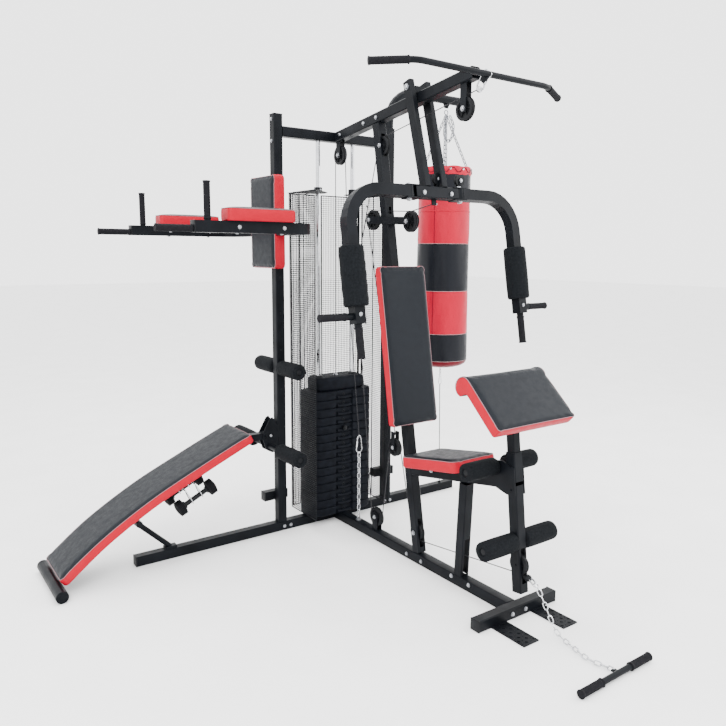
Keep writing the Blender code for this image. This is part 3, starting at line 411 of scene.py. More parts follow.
class Shape:
    """Gathers the surfaces of one piece, each with its material, and makes the piece from them."""

    def __init__(self):
        self.points = []
        self.faces = []
        self.face_materials = []
        self.materials = []

    def add(self, points, faces, material):
        first = len(self.points)
        self.points += [Vector(point) for point in points]
        self.cover([[first + corner for corner in face] for face in faces], material)

    def cover(self, faces, material):
        """Adds faces between points that are there already."""
        if material not in self.materials:
            self.materials.append(material)
        self.faces += faces
        self.face_materials += [self.materials.index(material)] * len(faces)

    def lid(self, sides, material):
        """Closes the ring that was added last."""
        self.cover([list(range(len(self.points) - sides, len(self.points)))], material)

    def rings(self, rings, material, closed=False, caps=True):
        """Joins rings of points, each with as many, into a tube."""
        sides = len(rings[0])
        points = [point for one in rings for point in one]
        faces = []
        for index in range(len(rings) if closed else len(rings) - 1):
            here, there = index * sides, (index + 1) % len(rings) * sides
            for side in range(sides):
                after = (side + 1) % sides
                faces.append((here + side, here + after, there + after, there + side))
        if caps and not closed:
            faces.append(tuple(reversed(range(sides))))
            faces.append(tuple(range(len(points) - sides, len(points))))
        self.add(points, faces, material)

    def sweep(self, path, section, material, closed=False):
        """The section, as (across, up) points, carried along the path."""
        loops = [[p + a * u + b * v for u, v in section] for p, a, b in frames(path, closed)]
        self.rings(loops, material, closed)

    def tube(self, path, radius, material, sides=12, closed=False):
        self.sweep(path, ring(radius, sides), material, closed)

    def lathe(self, profile, centre, along, material, steps=32, closed=False):
        """The profile, as (radius, height) points, turned about the line through centre."""
        matrix = axes(any_across(along), along, centre)
        loops = []
        for radius, height in profile:
            loops.append([matrix @ Vector((x, y, height)) for x, y in ring(max(radius, 1e-5), steps)])
        self.rings(loops, material, closed)

    def rod(self, start, end, radius, material, steps=24, edge=0.0015):
        """A round bar with softened ends."""
        start, end = Vector(start), Vector(end)
        length = (end - start).length
        profile = [(0, 0), (radius - edge, 0), (radius, edge), (radius, length - edge)]
        profile += [(radius - edge, length), (0, length)]
        self.lathe(profile, start, end - start, material, steps)

    def block(self, size, centre, material, across=X, along=Z, edge=0.003):
        """A box with rounded edges."""
        built = bmesh.new()
        bmesh.ops.create_cube(built, size=1)
        bmesh.ops.scale(built, vec=size, verts=built.verts)
        bmesh.ops.bevel(built, geom=built.edges[:], offset=edge, segments=2, profile=0.5, affect="EDGES")
        matrix = axes(across, along, centre)
        built.verts.index_update()
        points = [matrix @ vert.co for vert in built.verts]
        self.add(points, [[vert.index for vert in face.verts] for face in built.faces], material)
        built.free()

    def bolt(self, centre, along, radius=0.0075, height=0.007):
        """A hexagon head on a washer, standing on the surface at centre."""
        washer = radius * 1.25
        self.lathe([(0, -0.0005), (washer, -0.0005), (washer, 0.0015), (0, 0.0015)], centre, along, ZINC, 20)
        head = [(0, 0), (radius, 0), (radius, height * 0.8), (radius * 0.8, height), (0, height)]
        self.lathe(head, centre, along, ZINC, 6)

    def bolt_pair(self, x, y, z, *size):
        """A bolt head on each side of the middle plane."""
        for side in SIDES:
            self.bolt((side * x, y, z), X * side, *size)

    def mesh(self, name, merge=True):
        mesh = bpy.data.meshes.new(name)
        mesh.from_pydata(self.points, [], self.faces)
        for material in self.materials:
            mesh.materials.append(material)
        mesh.polygons.foreach_set("material_index", self.face_materials)
        built = bmesh.new()
        built.from_mesh(mesh)
        if merge:
            bmesh.ops.remove_doubles(built, verts=built.verts, dist=2e-5)
        bmesh.ops.recalc_face_normals(built, faces=built.faces)
        built.to_mesh(mesh)
        built.free()
        return mesh

    def piece(self, name, body, slot, replaced=(), smooth=38):
        mesh = self.mesh(name)
        piece = placed(name, mesh)
        mesh.shade_smooth()
        mesh.set_sharp_from_angle(angle=math.radians(smooth))
        if body:
            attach(piece, body)
        if replaced:
            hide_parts(*replaced)
        return piece


def chain(shape, path, length, width, wire, material=CHROME, twist=0.0):
    """Oval links along the path, each a quarter turn from the last. length is inside one link."""
    path = smooth_path(path, 12) if len(path) > 2 else [Vector(p) for p in path]
    marks = travelled(path)
    count = max(1, round(marks[-1] / length))
    pitch = marks[-1] / count
    half, reach = width / 2 - wire, (pitch + wire) / 2 - width / 2 + wire
    outline = [(u, v + reach) for u, v in arc((0, 0), half, 0, 180, 5)]
    outline += [(u, v - reach) for u, v in arc((0, 0), half, 180, 360, 5)]
    for link in range(count):
        start, end = (between(path, *stretch(marks, pitch * number)) for number in (link, link + 1))
        along = (end - start).normalized()
        matrix = axes(any_across(along), along, (start + end) / 2)
        matrix = matrix @ Matrix.Rotation(twist + math.radians(90 * (link % 2)), 4, "Z")
        shape.tube([matrix @ Vector((u, 0, v)) for u, v in outline], wire, material, 8, closed=True)


def carabiner(shape, top, bottom, width, wire, across=X):
    """A pear-shaped snap hook between two points, with its gate and sleeve."""
    top, bottom = Vector(top), Vector(bottom)
    height = (top - bottom).length
    matrix = axes(across, top - bottom, bottom)
    half = [(0.5, 0.16), (0.46, 0.42), (0.30, 0.85)]
    outline = [(0, 0), *half, (0, 1.0)] + [(-u, v) for u, v in reversed(half)]
    points = [(u * width, 0, v * height) for u, v in outline]
    loop = [matrix @ point for point in smooth_path(points, 4, closed=True)]
    shape.tube(loop, wire, CHROME, 8, closed=True)
    low, high = (matrix @ Vector((u * width, 0, v * height)) for u, v in ((-0.47, 0.35), (-0.36, 0.70)))
    shape.rod(low, high, wire * 1.5, CHROME, 12)


def tube_cap(shape, centre, along):
    """The plastic plug that closes a square tube's end."""
    side = TUBE + 0.001
    place = Vector(centre) + along * 0.0022
    shape.block((side, side, 0.005), place, PLASTIC, any_across(along), along, 0.0022)


def box_cells(counts):
    """The corners (i, j, k) on the surface of a block of cells, and its faces with the side each is on."""
    corners = {}

    def corner(*place):
        return corners.setdefault(place, len(corners))

    faces = []
    for axis in range(3):
        first, second = [other for other in range(3) if other != axis]
        for level in (0, counts[axis]):
            for a in range(counts[first]):
                for b in range(counts[second]):
                    face = []
                    for da, db in ((0, 0), (1, 0), (1, 1), (0, 1)):
                        place = [0, 0, 0]
                        place[axis], place[first], place[second] = level, a + da, b + db
                        face.append(corner(*place))
                    faces.append((face, axis, level))
    return corners, faces


def spaced(half, corner, step):
    """Stations from -half to half: three in each rounded corner, and even steps between."""
    inner = half - corner
    count = max(2, round(2 * inner / step))
    middle = [-inner + 2 * inner * index / count for index in range(count + 1)]
    ends = [corner * share for share in (1 / 3, 2 / 3, 1)]
    return [-inner - end for end in reversed(ends)] + middle + [inner + end for end in ends]


def rounded_plan(a, b, half_a, half_b, radius):
    """Moves a point of a rectangle so that the rectangle gets round corners."""
    x, y = abs(a) - (half_a - radius), abs(b) - (half_b - radius)
    if x <= 0 or y <= 0:
        return a, b
    share = max(x, y) / math.hypot(x, y)
    x, y = half_a - radius + x * share, half_b - radius + y * share
    return math.copysign(x, a), math.copysign(y, b)


class Pad:
    """An upholstered board. Its long section runs between the curves top and bottom, and it is width wide."""

    def __init__(self, name, top, bottom, across, width, body, node, corner=0.020, edge=0.009, step=0.013):
        self.name, self.body, self.node = name, body, node
        top, bottom = [Vector(p) for p in top], [Vector(p) for p in bottom]
        marks = travelled(top)
        half_a, half_b = marks[-1] / 2, width / 2
        depth = (top[-1] - bottom[-1]).length
        stations_a, stations_b = spaced(half_a, corner, step), spaced(half_b, corner, step)
        depths = [0.0, 0.3 * edge, edge, depth / 2, depth - UNDER_EDGE, depth]
        counts = (len(stations_a) - 1, len(stations_b) - 1, len(depths) - 1)
        corners, faces = box_cells(counts)
        points = [None] * len(corners)
        for (i, j, k), index in corners.items():
            h = depths[k]
            inset = 0.0
            if h < edge:
                inset = edge - math.sqrt(edge**2 - (edge - h) ** 2)
            elif h > depth - UNDER_EDGE:
                inset = UNDER_EDGE - math.sqrt(max(0.0, UNDER_EDGE**2 - (h - depth + UNDER_EDGE) ** 2))
            a = stations_a[i] * (half_a - inset) / half_a
            b = stations_b[j] * (half_b - inset) / half_b
            a, b = rounded_plan(a, b, half_a - inset, half_b - inset, corner - inset * 0.5)
            segment, share = stretch(marks, a + half_a)
            high, low = between(top, segment, share), between(bottom, segment, share)
            points[index] = high.lerp(low, h / depth) + across * b
        levels = {index: k for (i, j, k), index in corners.items()}

        def looks(face, axis, level):
            """The top's vinyl goes over the rounded rim as far as the seam."""
            if axis == 2:
                return BACKING if level else GREY_VINYL
            return GREY_VINYL if max(levels[index] for index in face) <= SEAM_LEVEL else RED_VINYL

        shape = Shape()
        shape.points = points
        for material in (GREY_VINYL, RED_VINYL, BACKING):
            chosen = [face for face, axis, level in faces if looks(face, axis, level) == material]
            shape.cover(chosen, material)
        self.seam = self.loop_at(SEAM_LEVEL, counts, corners)
        self.held = [index for index, level in levels.items() if level == counts[2]]
        self.piece = placed(name, shape.mesh(name, merge=False))

    def loop_at(self, k, counts, corners):
        """The corners at depth level k round the outline, in order."""
        na, nb = counts[0], counts[1]
        walk = [(i, 0) for i in range(na)] + [(na, j) for j in range(nb)]
        walk += [(i, nb) for i in range(na, 0, -1)] + [(0, j) for j in range(nb, 0, -1)]
        return [corners[(i, j, k)] for i, j in walk]

    def stuff(self, pressure=4.0):
        """Adds the cloth that the foam pushes out. The board side is fixed, and the seam gives a little."""
        held = self.piece.vertex_groups.new(name="held")
        held.add(self.held, 1.0, "REPLACE")
        held.add(self.seam, 0.35, "REPLACE")
        cloth = self.piece.modifiers.new("stuffing", "CLOTH")
        settings = cloth.settings
        settings.use_pressure = True
        settings.uniform_pressure_force = pressure
        settings.vertex_group_mass = "held"
        settings.effector_weights.gravity = 0
        settings.quality = 4
        cloth.point_cache.frame_start = 1
        cloth.point_cache.frame_end = SIMULATED_FRAMES

    def settle(self, most=0.006):
        """Keeps the simulated shape, with no point moved further than most, and takes the cloth off."""
        graph = bpy.context.evaluated_depsgraph_get()
        moved = self.piece.evaluated_get(graph).to_mesh()
        places = [vert.co.copy() for vert in moved.vertices]
        self.piece.evaluated_get(graph).to_mesh_clear()
        self.piece.modifiers.clear()
        for vert, place in zip(self.piece.data.vertices, places):
            shift = place - vert.co
            if shift.length > most:
                shift *= most / shift.length
            vert.co += shift
        self.piece.vertex_groups.clear()

    def dress(self):
        """Smooths the cover, adds the piping in its seam, coloured pale as a painted highlight, and hands the
        pad over.
        """
        self.piece.data.shade_smooth()
        smooth = self.piece.modifiers.new("smooth", "SUBSURF")
        smooth.levels = smooth.render_levels = 1
        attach(self.piece, self.body)
        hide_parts(self.node)
        vertices = self.piece.data.vertices
        path = [vertices[index].co + vertices[index].normal * 0.0004 for index in self.seam]
        shape = Shape()
        shape.tube(smooth_path(path, 2, closed=True), PIPING_RADIUS, PIPING_PAINTED_HIGHLIGHT, 8, closed=True)
        shape.piece(self.name + "_piping", self.body, "pad_vinyl")


# Camera, floor and light


def camera():
    """The view that the rest pose is rendered from."""
    data = bpy.data.cameras.new("camera")
    data.lens = CAMERA_LENS
    data.clip_end = 100
    camera = placed("camera", data)
    turn = Matrix.Rotation(math.radians(CAMERA_TURN), 4, "Z")
    dip = Matrix.Rotation(math.radians(90 - CAMERA_DIP), 4, "X")
    roll = Matrix.Rotation(math.radians(CAMERA_ROLL), 4, "Z")
    camera.matrix_world = Matrix.Translation(CAMERA_PLACE) @ turn @ dip @ roll
    bpy.context.scene.camera = camera


def area_light(name, place, target, size, power):
    data = bpy.data.lights.new(name, "AREA")
    data.size = size
    data.energy = power
    light = placed(name, data)
    light.location = place
    light.rotation_euler = (Vector(target) - Vector(place)).to_track_quat("-Z", "Y").to_euler()


def studio():
    """A pale floor, a white sky and three soft lights."""
    look = Surface("pale_floor", (0.9, 0.9, 0.9), 0.75, specular=0.2)
    look.coloured(look.noise(3), (0.86, 0.86, 0.86), (0.90, 0.90, 0.90))
    floor = Shape()
    corners = ((-1, -1), (1, -1), (1, 1), (-1, 1))
    floor.add([(x * FLOOR_REACH, y * FLOOR_REACH, -0.001) for x, y in corners], [(0, 1, 2, 3)], look.material)
    placed("studio_floor", floor.mesh("studio_floor"))
    world = bpy.data.worlds.new("studio")
    world.use_nodes = True
    sky = world.node_tree.nodes["Background"].inputs
    sky["Color"].default_value = (1, 1, 1, 1)
    sky["Strength"].default_value = 3.2
    bpy.context.scene.world = world
    area_light("key", (-3.2, -3.6, 4.2), (0, -0.5, 1.0), 2.6, 260)
    area_light("fill", (3.4, -3.0, 3.0), (0, -0.5, 1.0), 3.0, 110)
    area_light("top", (0, 0.6, 5.0), (0, -0.3, 0.8), 3.0, 160)


# Frame


def paint_frame():
    """The CAD solids that stay get their finish."""
    for name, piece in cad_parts.items():
        piece.data.materials.clear()
        piece.data.materials.append(CHROME if name in BRIGHT_NODES else PAINT)
        piece.data.shade_smooth()
        piece.data.set_sharp_from_angle(angle=math.radians(28))


def base_tube():
    """The main base tube with its wheel ears and the chain that the lower cable is anchored to."""
    shape = Shape()
    section = rounded_square(TUBE, TUBE, 0.004)
    shape.sweep([(0, -0.0253, 0.025), (0, -1.3497, 0.025)], section, PAINT)
    for side in SIDES:
        shape.block((0.004, 0.046, 0.100), (side * 0.0136, -0.400, 0.094), PAINT, edge=0.0018)
    shape.rod((-0.024, -0.400, 0.122), (0.024, -0.400, 0.122), 0.005, ZINC)
    shape.piece("base_main_tube_finished", "gym_frame", "black_frame_paint", ["base_main_tube"])
    links = Shape()
    chain(links, [(0, -0.232, 0.050), (0, -0.232, 0.434)], 0.029, 0.021, 0.0027)
    carabiner(links, (0, -0.232, 0.527), (0, -0.232, 0.430), 0.034, 0.0030)
    eye = [(0, 0), (0.016, 0), (0.016, 0.003), (0.010, 0.006), (0, 0.006)]
    links.lathe(eye, (0, -0.232, 0.050), Z, ZINC, 24)
    links.piece("anchor_chain", "gym_frame", "chrome")


def tube_plugs():
    """The plugs in the open ends of the frame's tubes."""
    caps = Shape()
    tube_cap(caps, (-1.158, 0, 0.025), -X)
    tube_cap(caps, (0.888, 0, 0.025), X)
    for side in SIDES:
        tube_cap(caps, (side * 0.358, 0, 2.187), Z)
        tube_cap(caps, (side * 0.229, -1.375, 0.025), X * side)
        tube_cap(caps, (side * 0.435, 0.0497, 0.190), X * side)
        tube_cap(caps, (-0.979, side * VKR_ARM_Y, VKR_Z), -X)
    caps.piece("tube_plugs", "gym_frame", "black_plastic")


def frame_bolts():
    """Bolt heads on the fixed frame, and the plugged adjustment holes of the left upright."""
    bolts = Shape()
    for x in (-0.350, 0.378, -0.310, 0.338):
        bolts.bolt((x, -0.025, 0.024), -Y)
    for x in (-0.040, 0.040):
        bolts.bolt((x, -1.400, 0.025), -Y)
    for y in (-0.685, -0.795):
        bolts.bolt_pair(0.025, y, 0.024)
    for y, z in ((-1.011, 0.036), (-1.124, 0.036)):
        bolts.bolt_pair(0.025, y, z, 0.008)
    for z in (2.058, 2.164):
        bolts.bolt_pair(0.383, 0, z)
    for y in (-0.292, -0.396, -0.080):
        bolts.bolt_pair(0.025, y, BOOM_START[1] + (y - BOOM_START[0]) * BOOM_SLOPE)
    for wheels, x, height in (
        (("upright_top", "foot"), 0.026, 0.008),
        (("front_mid", "rear_mid"), 0.029, 0.008),
        (("front_top", "rear_top", "base"), 0.0157, 0.007),
    ):
        for wheel in wheels:
            bolts.bolt_pair(x, *WHEELS[wheel][0], 0.009, height)
    for y, z in ((-0.720, 0.482), (-0.860, 0.500)):
        bolts.bolt_pair(0.0300, y, z, 0.008)
    for side in SIDES:
        bolts.bolt((-0.383, 0, VKR_Z + side * 0.075), -X, 0.008)
        bolts.bolt((-0.426, side * 0.0225, 0.545), Y * side, 0.008)
    plug = [(0, 0), (0.0062, 0), (0.0062, 0.0006), (0, 0.0006)]
    for z in (0.788, 0.998, 1.190, 1.379):
        bolts.lathe(plug, (-0.358, -0.025, z), -Y, PLASTIC, 20)
    bolts.piece("frame_bolts", "gym_frame", "chrome")


def tread_ribs():
    """The raised slanted ribs of the two foot plates."""
    treads = Shape()
    for side in SIDES:
        for row in range(9):
            for column in range(4):
                place = (side * (0.084 + 0.0225 * column), -1.392 - 0.0205 * row, 0.0056)
                turn = 1 if (row + column) % 2 else -1
                treads.block((0.0035, 0.0016, 0.013), place, PAINT, Z, (turn, 1, 0), 0.0006)
    treads.piece("tread_ribs", "gym_frame", "black_frame_paint")


# Weight stack


def offset_loop(loop, distance):
    """The closed loop, counter-clockwise from above, moved inwards."""
    moved = []
    count = len(loop)
    for index, point in enumerate(loop):
        before, after = Vector(loop[index - 1]), Vector(loop[(index + 1) % count])
        here = Vector(point)
        first, second = (here - before).normalized(), (after - here).normalized()
        inward = Vector((-first.y - second.y, first.x + second.x))
        scale = distance / max(0.35, inward.length / 2) if inward.length else 0
        moved.append(here + inward.normalized() * scale)
    return moved


def plate_outline(size, corner, channel=0.0, channel_depth=0.0):
    """A plate from above, counter-clockwise, with cut corners and a shallow channel in its front."""
    width, depth = size[0] / 2, size[1] / 2
    outline = []
    for u, v in ((1, 1), (-1, 1), (-1, -1), (1, -1)):
        ends = [(u * width, v * (depth - corner)), (u * (width - corner), v * depth)]
        ends = ends if u * v > 0 else ends[::-1]
        if channel and (u, v) == (1, -1):
            outline += [(-channel, -depth), (-channel + 0.006, -depth + channel_depth)]
            outline += [(channel - 0.006, -depth + channel_depth), (channel, -depth)]
        outline += rounded_corner(ends[0], ends[1], u, v)
    return outline


def rounded_corner(start, end, u, v):
    """Three points that round off a cut corner."""
    middle = ((start[0] + end[0]) / 2 + u * 0.006, (start[1] + end[1]) / 2 + v * 0.006)
    return [start, middle, end]


def slab(shape, outline, low, high, edge, material):
    """The outline raised from low to high, with rounded rims."""
    rims = []
    for degrees in (0, 30, 60, 90):
        angle = math.radians(degrees)
        rims.append((edge * (1 - math.sin(angle)), edge * (1 - math.cos(angle))))
    rings = [(inset, low + rise) for inset, rise in rims]
    rings += [(inset, high - rise) for inset, rise in reversed(rims)]
    loops = [[Vector((p.x, p.y, z)) for p in offset_loop(outline, inset)] for inset, z in rings]
    shape.rings(loops, material)


def collar(shape, inner, outer, height, centre, along, material, steps):
    """A plain ring that stands on centre."""
    profile = [(inner, 0), (outer, 0), (outer, height), (inner, height)]
    shape.lathe(profile, centre, along, material, steps, True)


def pocket(front, middle):
    """The line of the padded lip under each selector hole, which dips in the middle."""
    line = []
    for step in range(11):
        x = step * 0.0092 - 0.046
        line.append((x, front + 0.0075, middle - 0.011 - 0.005 * (1 - (x / 0.046) ** 2)))
    return line


def weight_plates():
    """The two groups of plates, the head plate on top, and the knob of the selector pin."""
    outline = plate_outline(PLATE_SIZE, PLATE_CORNER, 0.056, 0.013)
    front = -PLATE_SIZE[1] / 2
    split = STACK_TOP - LIFTED_PLATES * PLATE_PITCH
    pitch = (split - STACK_BOTTOM) / RESTING_PLATES
    for node, count, bottom, body in (
        ("resting_plates", RESTING_PLATES, STACK_BOTTOM, "gym_frame"),
        ("lifted_plates", LIFTED_PLATES, split, "lifted_stack"),
    ):
        shape = Shape()
        for index in range(count):
            low = bottom + index * pitch
            middle = low + pitch / 2
            slab(shape, outline, low + 0.0004, low + pitch - 0.0004, 0.0080, PLATES)
            shape.sweep(pocket(front, middle), ring(0.0085, 10), PLATES)
            collar(shape, 0.0055, 0.0085, 0.002, (0, front + 0.0125, middle), -Y, PLASTIC, 20)
        shape.piece(node + "_finished", body, "plate_vinyl", [node])

    head = Shape()
    slab(head, plate_outline(HEAD_SIZE, HEAD_CORNER), STACK_TOP + 0.0004, CARRIAGE_TOP, 0.018, PLATES)
    for side in SIDES:
        collar(head, 0.0125, 0.020, 0.006, (side * ROD_X, 0, CARRIAGE_TOP - 0.001), Z, PLASTIC, 28)
    head.bolt((0, 0, CARRIAGE_TOP - 0.001), Z, 0.012, 0.012)
    head.piece("stack_head", "lifted_stack", "plate_vinyl", ["stack_carriage"])

    pin_z = split + PLATE_PITCH / 2
    knob = Shape()
    profile = [(0, 0), (0.006, 0), (0.007, 0.006), (0.012, 0.009), (0.0135, 0.016)]
    profile += [(0.0125, 0.022), (0.008, 0.026), (0, 0.027)]
    knob.lathe(profile, (0, front + 0.015, pin_z), -Y, PLASTIC, 28)
    knob.rod((0, -0.0125, pin_z), (0, front + 0.016, pin_z), 0.004, CHROME)
    knob.piece("selector_knob", "selector", "black_plastic", ["selector_pin"])


def perforated_panel(shape, start, end, low, high):
    """A flat upright sheet between two plan points, with square holes and a plain rim."""
    start, end = Vector((*start, 0)), Vector((*end, 0))
    along = (end - start).normalized()
    length = (end - start).length

    def lines(size):
        """Where the cells start and end across the sheet, with what is left over in the rims."""
        count = int((size - 2 * SHEET_MARGIN) / HOLE_PITCH)
        edge = (size - count * HOLE_PITCH) / 2
        return [0.0] + [edge + number * HOLE_PITCH for number in range(count + 1)] + [size]

    us, vs = lines(length), lines(high - low)
    points, faces = [], []

    def place(u, v):
        points.append(start + along * u + Z * (low + v))
        return len(points) - 1

    grid = [[place(u, v) for v in vs] for u in us]
    rim = (HOLE_PITCH - HOLE_SIDE) / 2
    for i in range(len(us) - 1):
        for j in range(len(vs) - 1):
            outer = [grid[i][j], grid[i + 1][j], grid[i + 1][j + 1], grid[i][j + 1]]
            if i in (0, len(us) - 2) or j in (0, len(vs) - 2):
                faces.append(outer)
                continue
            u0, u1, v0, v1 = us[i] + rim, us[i + 1] - rim, vs[j] + rim, vs[j + 1] - rim
            inner = [place(u0, v0), place(u1, v0), place(u1, v1), place(u0, v1)]
            for side in range(4):
                after = (side + 1) % 4
                faces.append([outer[side], outer[after], inner[after], inner[side]])
    shape.add(points, faces, PAINT)


def shrouds():
    """The perforated sheets on both sides of the stack, and the cap plate on each."""
    for side, node, rear in ((-1, "shroud_left", -0.071), (1, "shroud_right", -0.031)):
        plan = [(side * 0.240, -0.184), (side * 0.240, -0.020), (side * 0.240, 0.085)]
        plan += [(side * 0.225, 0.100), (rear, 0.100)]
        sheet = Shape()
        for start, end in zip(plan, plan[1:]):
            perforated_panel(sheet, start, end, SHROUD_BOTTOM, SHROUD_TOP)
        piece = sheet.piece(node + "_sheet", "gym_frame", "perforated_sheet", [node], 20)
        thick = piece.modifiers.new("thickness", "SOLIDIFY")
        thick.thickness = 0.0014
        thick.offset = 0
        cap = Shape()
        outline = [(0.240, -0.190), (0.240, 0.100), (0.085, 0.045), (0.066, 0.0), (0.085, -0.055)]
        outline = [(side * x, y) for x, y in outline]
        if side < 0:
            outline.reverse()
        slab(cap, outline, SHROUD_TOP + 0.0003, SHROUD_TOP + 0.0033, 0.0012, PAINT)
        x = side * ROD_X
        sleeve = [(0.0125, 0), (0.022, 0), (0.022, 0.029), (0.0205, 0.031), (0.0125, 0.031)]
        cap.lathe(sleeve, (x, 0, SHROUD_TOP), Z, PAINT, 32, True)
        cap.bolt((x, -0.022, SHROUD_TOP + 0.018), -Y, 0.004, 0.006)
        for y in (-0.150, 0.060):
            cap.bolt((side * 0.222, y, SHROUD_TOP + 0.0033), Z, 0.005, 0.004)
        for z in (SHROUD_BOTTOM + 0.05, 0.55, 1.10, SHROUD_TOP - 0.05):
            cap.bolt((side * 0.2412, 0.045, z), X * side, 0.004, 0.003)
        cap.piece(node + "_cap", "gym_frame", "black_frame_paint")


# Wheels and cables


def pulley(shape, y, z, radius):
    """A moulded wheel: a grooved rim, six ribs in a dished web, and a steel bush."""
    half, groove = 0.010, radius - 0.0090
    lip = [(radius - 0.0035, half), (radius, half - 0.001), (radius, half - 0.002), (groove + 0.0015, 0.0015)]
    rim = lip + [(across, -height) for across, height in reversed(lip)]
    inner = groove - 0.004
    rim += [(inner, -half), (inner - 0.002, -0.003), (0.016, -0.003), (0.014, -half), (0.0053, -half)]
    rim += [(0.0053, half), (0.014, half), (0.016, 0.003), (inner - 0.002, 0.003), (inner, half)]
    shape.lathe(rim, (0, y, z), X, PLASTIC, 48, True)
    for index in range(6):
        angle = math.tau * index / 6
        along = Vector((0, math.cos(angle), math.sin(angle)))
        middle = Vector((0, y, z)) + along * (0.014 + inner) / 2
        shape.block((0.017, 0.004, inner - 0.013), middle, PLASTIC, X, along, 0.001)


def wheels():
    """The wheels on the frame, and the two travelling blocks with theirs."""
    for name in FIXED_WHEELS:
        (y, z), radius = WHEELS[name]
        shape = Shape()
        pulley(shape, y, z, radius)
        shape.piece("pulley_" + name, "wheel_" + name + "_body", "black_plastic", ["wheel_" + name])
    for name, low, high, held in (
        ("floating_block", 1.314, 1.446, ("block_upper", "block_lower")),
        ("press_block", 0.520, 0.618, ("press_block",)),
    ):
        shape = Shape()
        for wheel in held:
            (y, z), radius = WHEELS[wheel]
            pulley(shape, y, z, radius)
            for side in SIDES:
                shape.bolt((side * 0.0158, y, z), X * side, 0.008, 0.006)
        for side in SIDES:
            shape.block((0.003, 0.030, high - low), (side * 0.0140, y, (low + high) / 2), PAINT, edge=0.0012)
        shape.piece(name + "_finished", "gym_frame", "black_plastic", [name])


def cable_path(stops):
    """The route of a cable in the plane of the wheels.

    A stop is a (Y, Z) point, or (wheel, turn), where turn is 1 for a wheel on the left of the cable as it
    runs, and -1 for one on the right.
    """
    rounds = []
    for first, second in stops:
        if first in WHEELS:
            centre, radius = WHEELS[first]
            rounds.append((Vector(centre), second * (radius - CABLE_DEPTH)))
        else:
            rounds.append((Vector((first, second)), 0.0))
    headings = []
    for (a, ra), (b, rb) in zip(rounds, rounds[1:]):
        span = b - a
        headings.append(math.atan2(span.y, span.x) - math.asin((rb - ra) / span.length))
    path = [rounds[0][0]]
    for (centre, radius), before, after in zip(rounds[1:-1], headings, headings[1:]):
        turn = (after - before + math.pi) % (2 * math.pi) - math.pi
        if radius and turn * radius < 0:
            turn += math.copysign(2 * math.pi, radius)
        steps = max(1, math.ceil(abs(turn) / math.radians(10)))
        for step in range(steps + 1):
            angle = before + turn * step / steps
            path.append(centre - radius * Vector((-math.sin(angle), math.cos(angle))))
    path.append(rounds[-1][0])
    return [Vector((0, point.x, point.y)) for point in path]


def cable_piece(name, path, body, replaced=(), radius=CABLE):
    """A coated cable, or a cord of another radius."""
    shape = Shape()
    shape.tube(path, radius, CABLE_COAT, 10)
    return shape.piece(name, body, "cable_coat", replaced)


def moving_cable(name, start, end):
    """A straight run of cable in many short lengths, from the end at the frame to the end that is pulled."""
    start, end = Vector(start), Vector(end)
    piece = cable_piece(name, [start.lerp(end, step / 24) for step in range(25)], None)
    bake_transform(piece)


def cables():
    """The lat, press and lower cables, each with the straight runs out to what they pull."""
    stops = [(-1.063, 2.170), ("upright_top", -1), ("block_upper", 1), ("rear_top", -1)]
    lat = cable_path(stops + [(0.0, CARRIAGE_TOP + 0.001)])
    cable_piece("lat_cable_run", lat[1:-1], "gym_frame", ["lat_cable"])
    moving_cable("lat_cable_bar_end", lat[1], lat[0])
    moving_cable("lat_cable_stack_end", lat[-2], lat[-1] - Z * 0.004)

    press = cable_path([(-0.786, 1.722), ("front_mid", -1), ("rear_mid", -1), (-0.547, 0.600)])
    cable_piece("press_cable_run", press[1:], "gym_frame", ["press_cable"])
    moving_cable("press_cable_arm_end", press[1], press[0])

    stops = [(-0.232, 0.5275), ("block_lower", 1), ("base", -1), ("press_block", 1), ("foot", -1)]
    lower = cable_path(stops + [("leg", -1), (-1.4232, 0.186)])
    split = next(i for i, point in enumerate(lower) if point.y < -1.2)
    cable_piece("lower_cable_run", lower[:split], "gym_frame", ["lower_cable"])
    moving_cable("lower_cable_leg_run", lower[split - 1], lower[split])
    cable_piece("leg_cable_end", lower[split:-1], "leg_developer_body", ["leg_cable"])
    end = lower[-1] - Y * 0.003
    moving_cable("leg_cable_pulled_end", lower[-2], end)


# Lat bar, press arm and low row


def grip(shape, start, end, radius, material=GRIP):
    """A rubber hand grip with a rolled lip at each end."""
    start, end = Vector(start), Vector(end)
    length = (end - start).length
    lip = radius + 0.0018
    profile = [(0, 0), (lip - 0.002, 0), (lip, 0.002), (lip, 0.004), (radius, 0.007)]
    count = max(2, int((length - 0.02) / 0.006))
    for index in range(count):
        middle = 0.010 + (length - 0.020) * (index + 0.5) / count
        profile += [(radius, middle - 0.0016), (radius - 0.0007, middle), (radius, middle + 0.0016)]
    profile += [(radius, length - 0.007), (lip, length - 0.004), (lip, length - 0.002)]
    profile += [(lip - 0.002, length), (0, length)]
    shape.lathe(profile, start, end - start, material, 24)


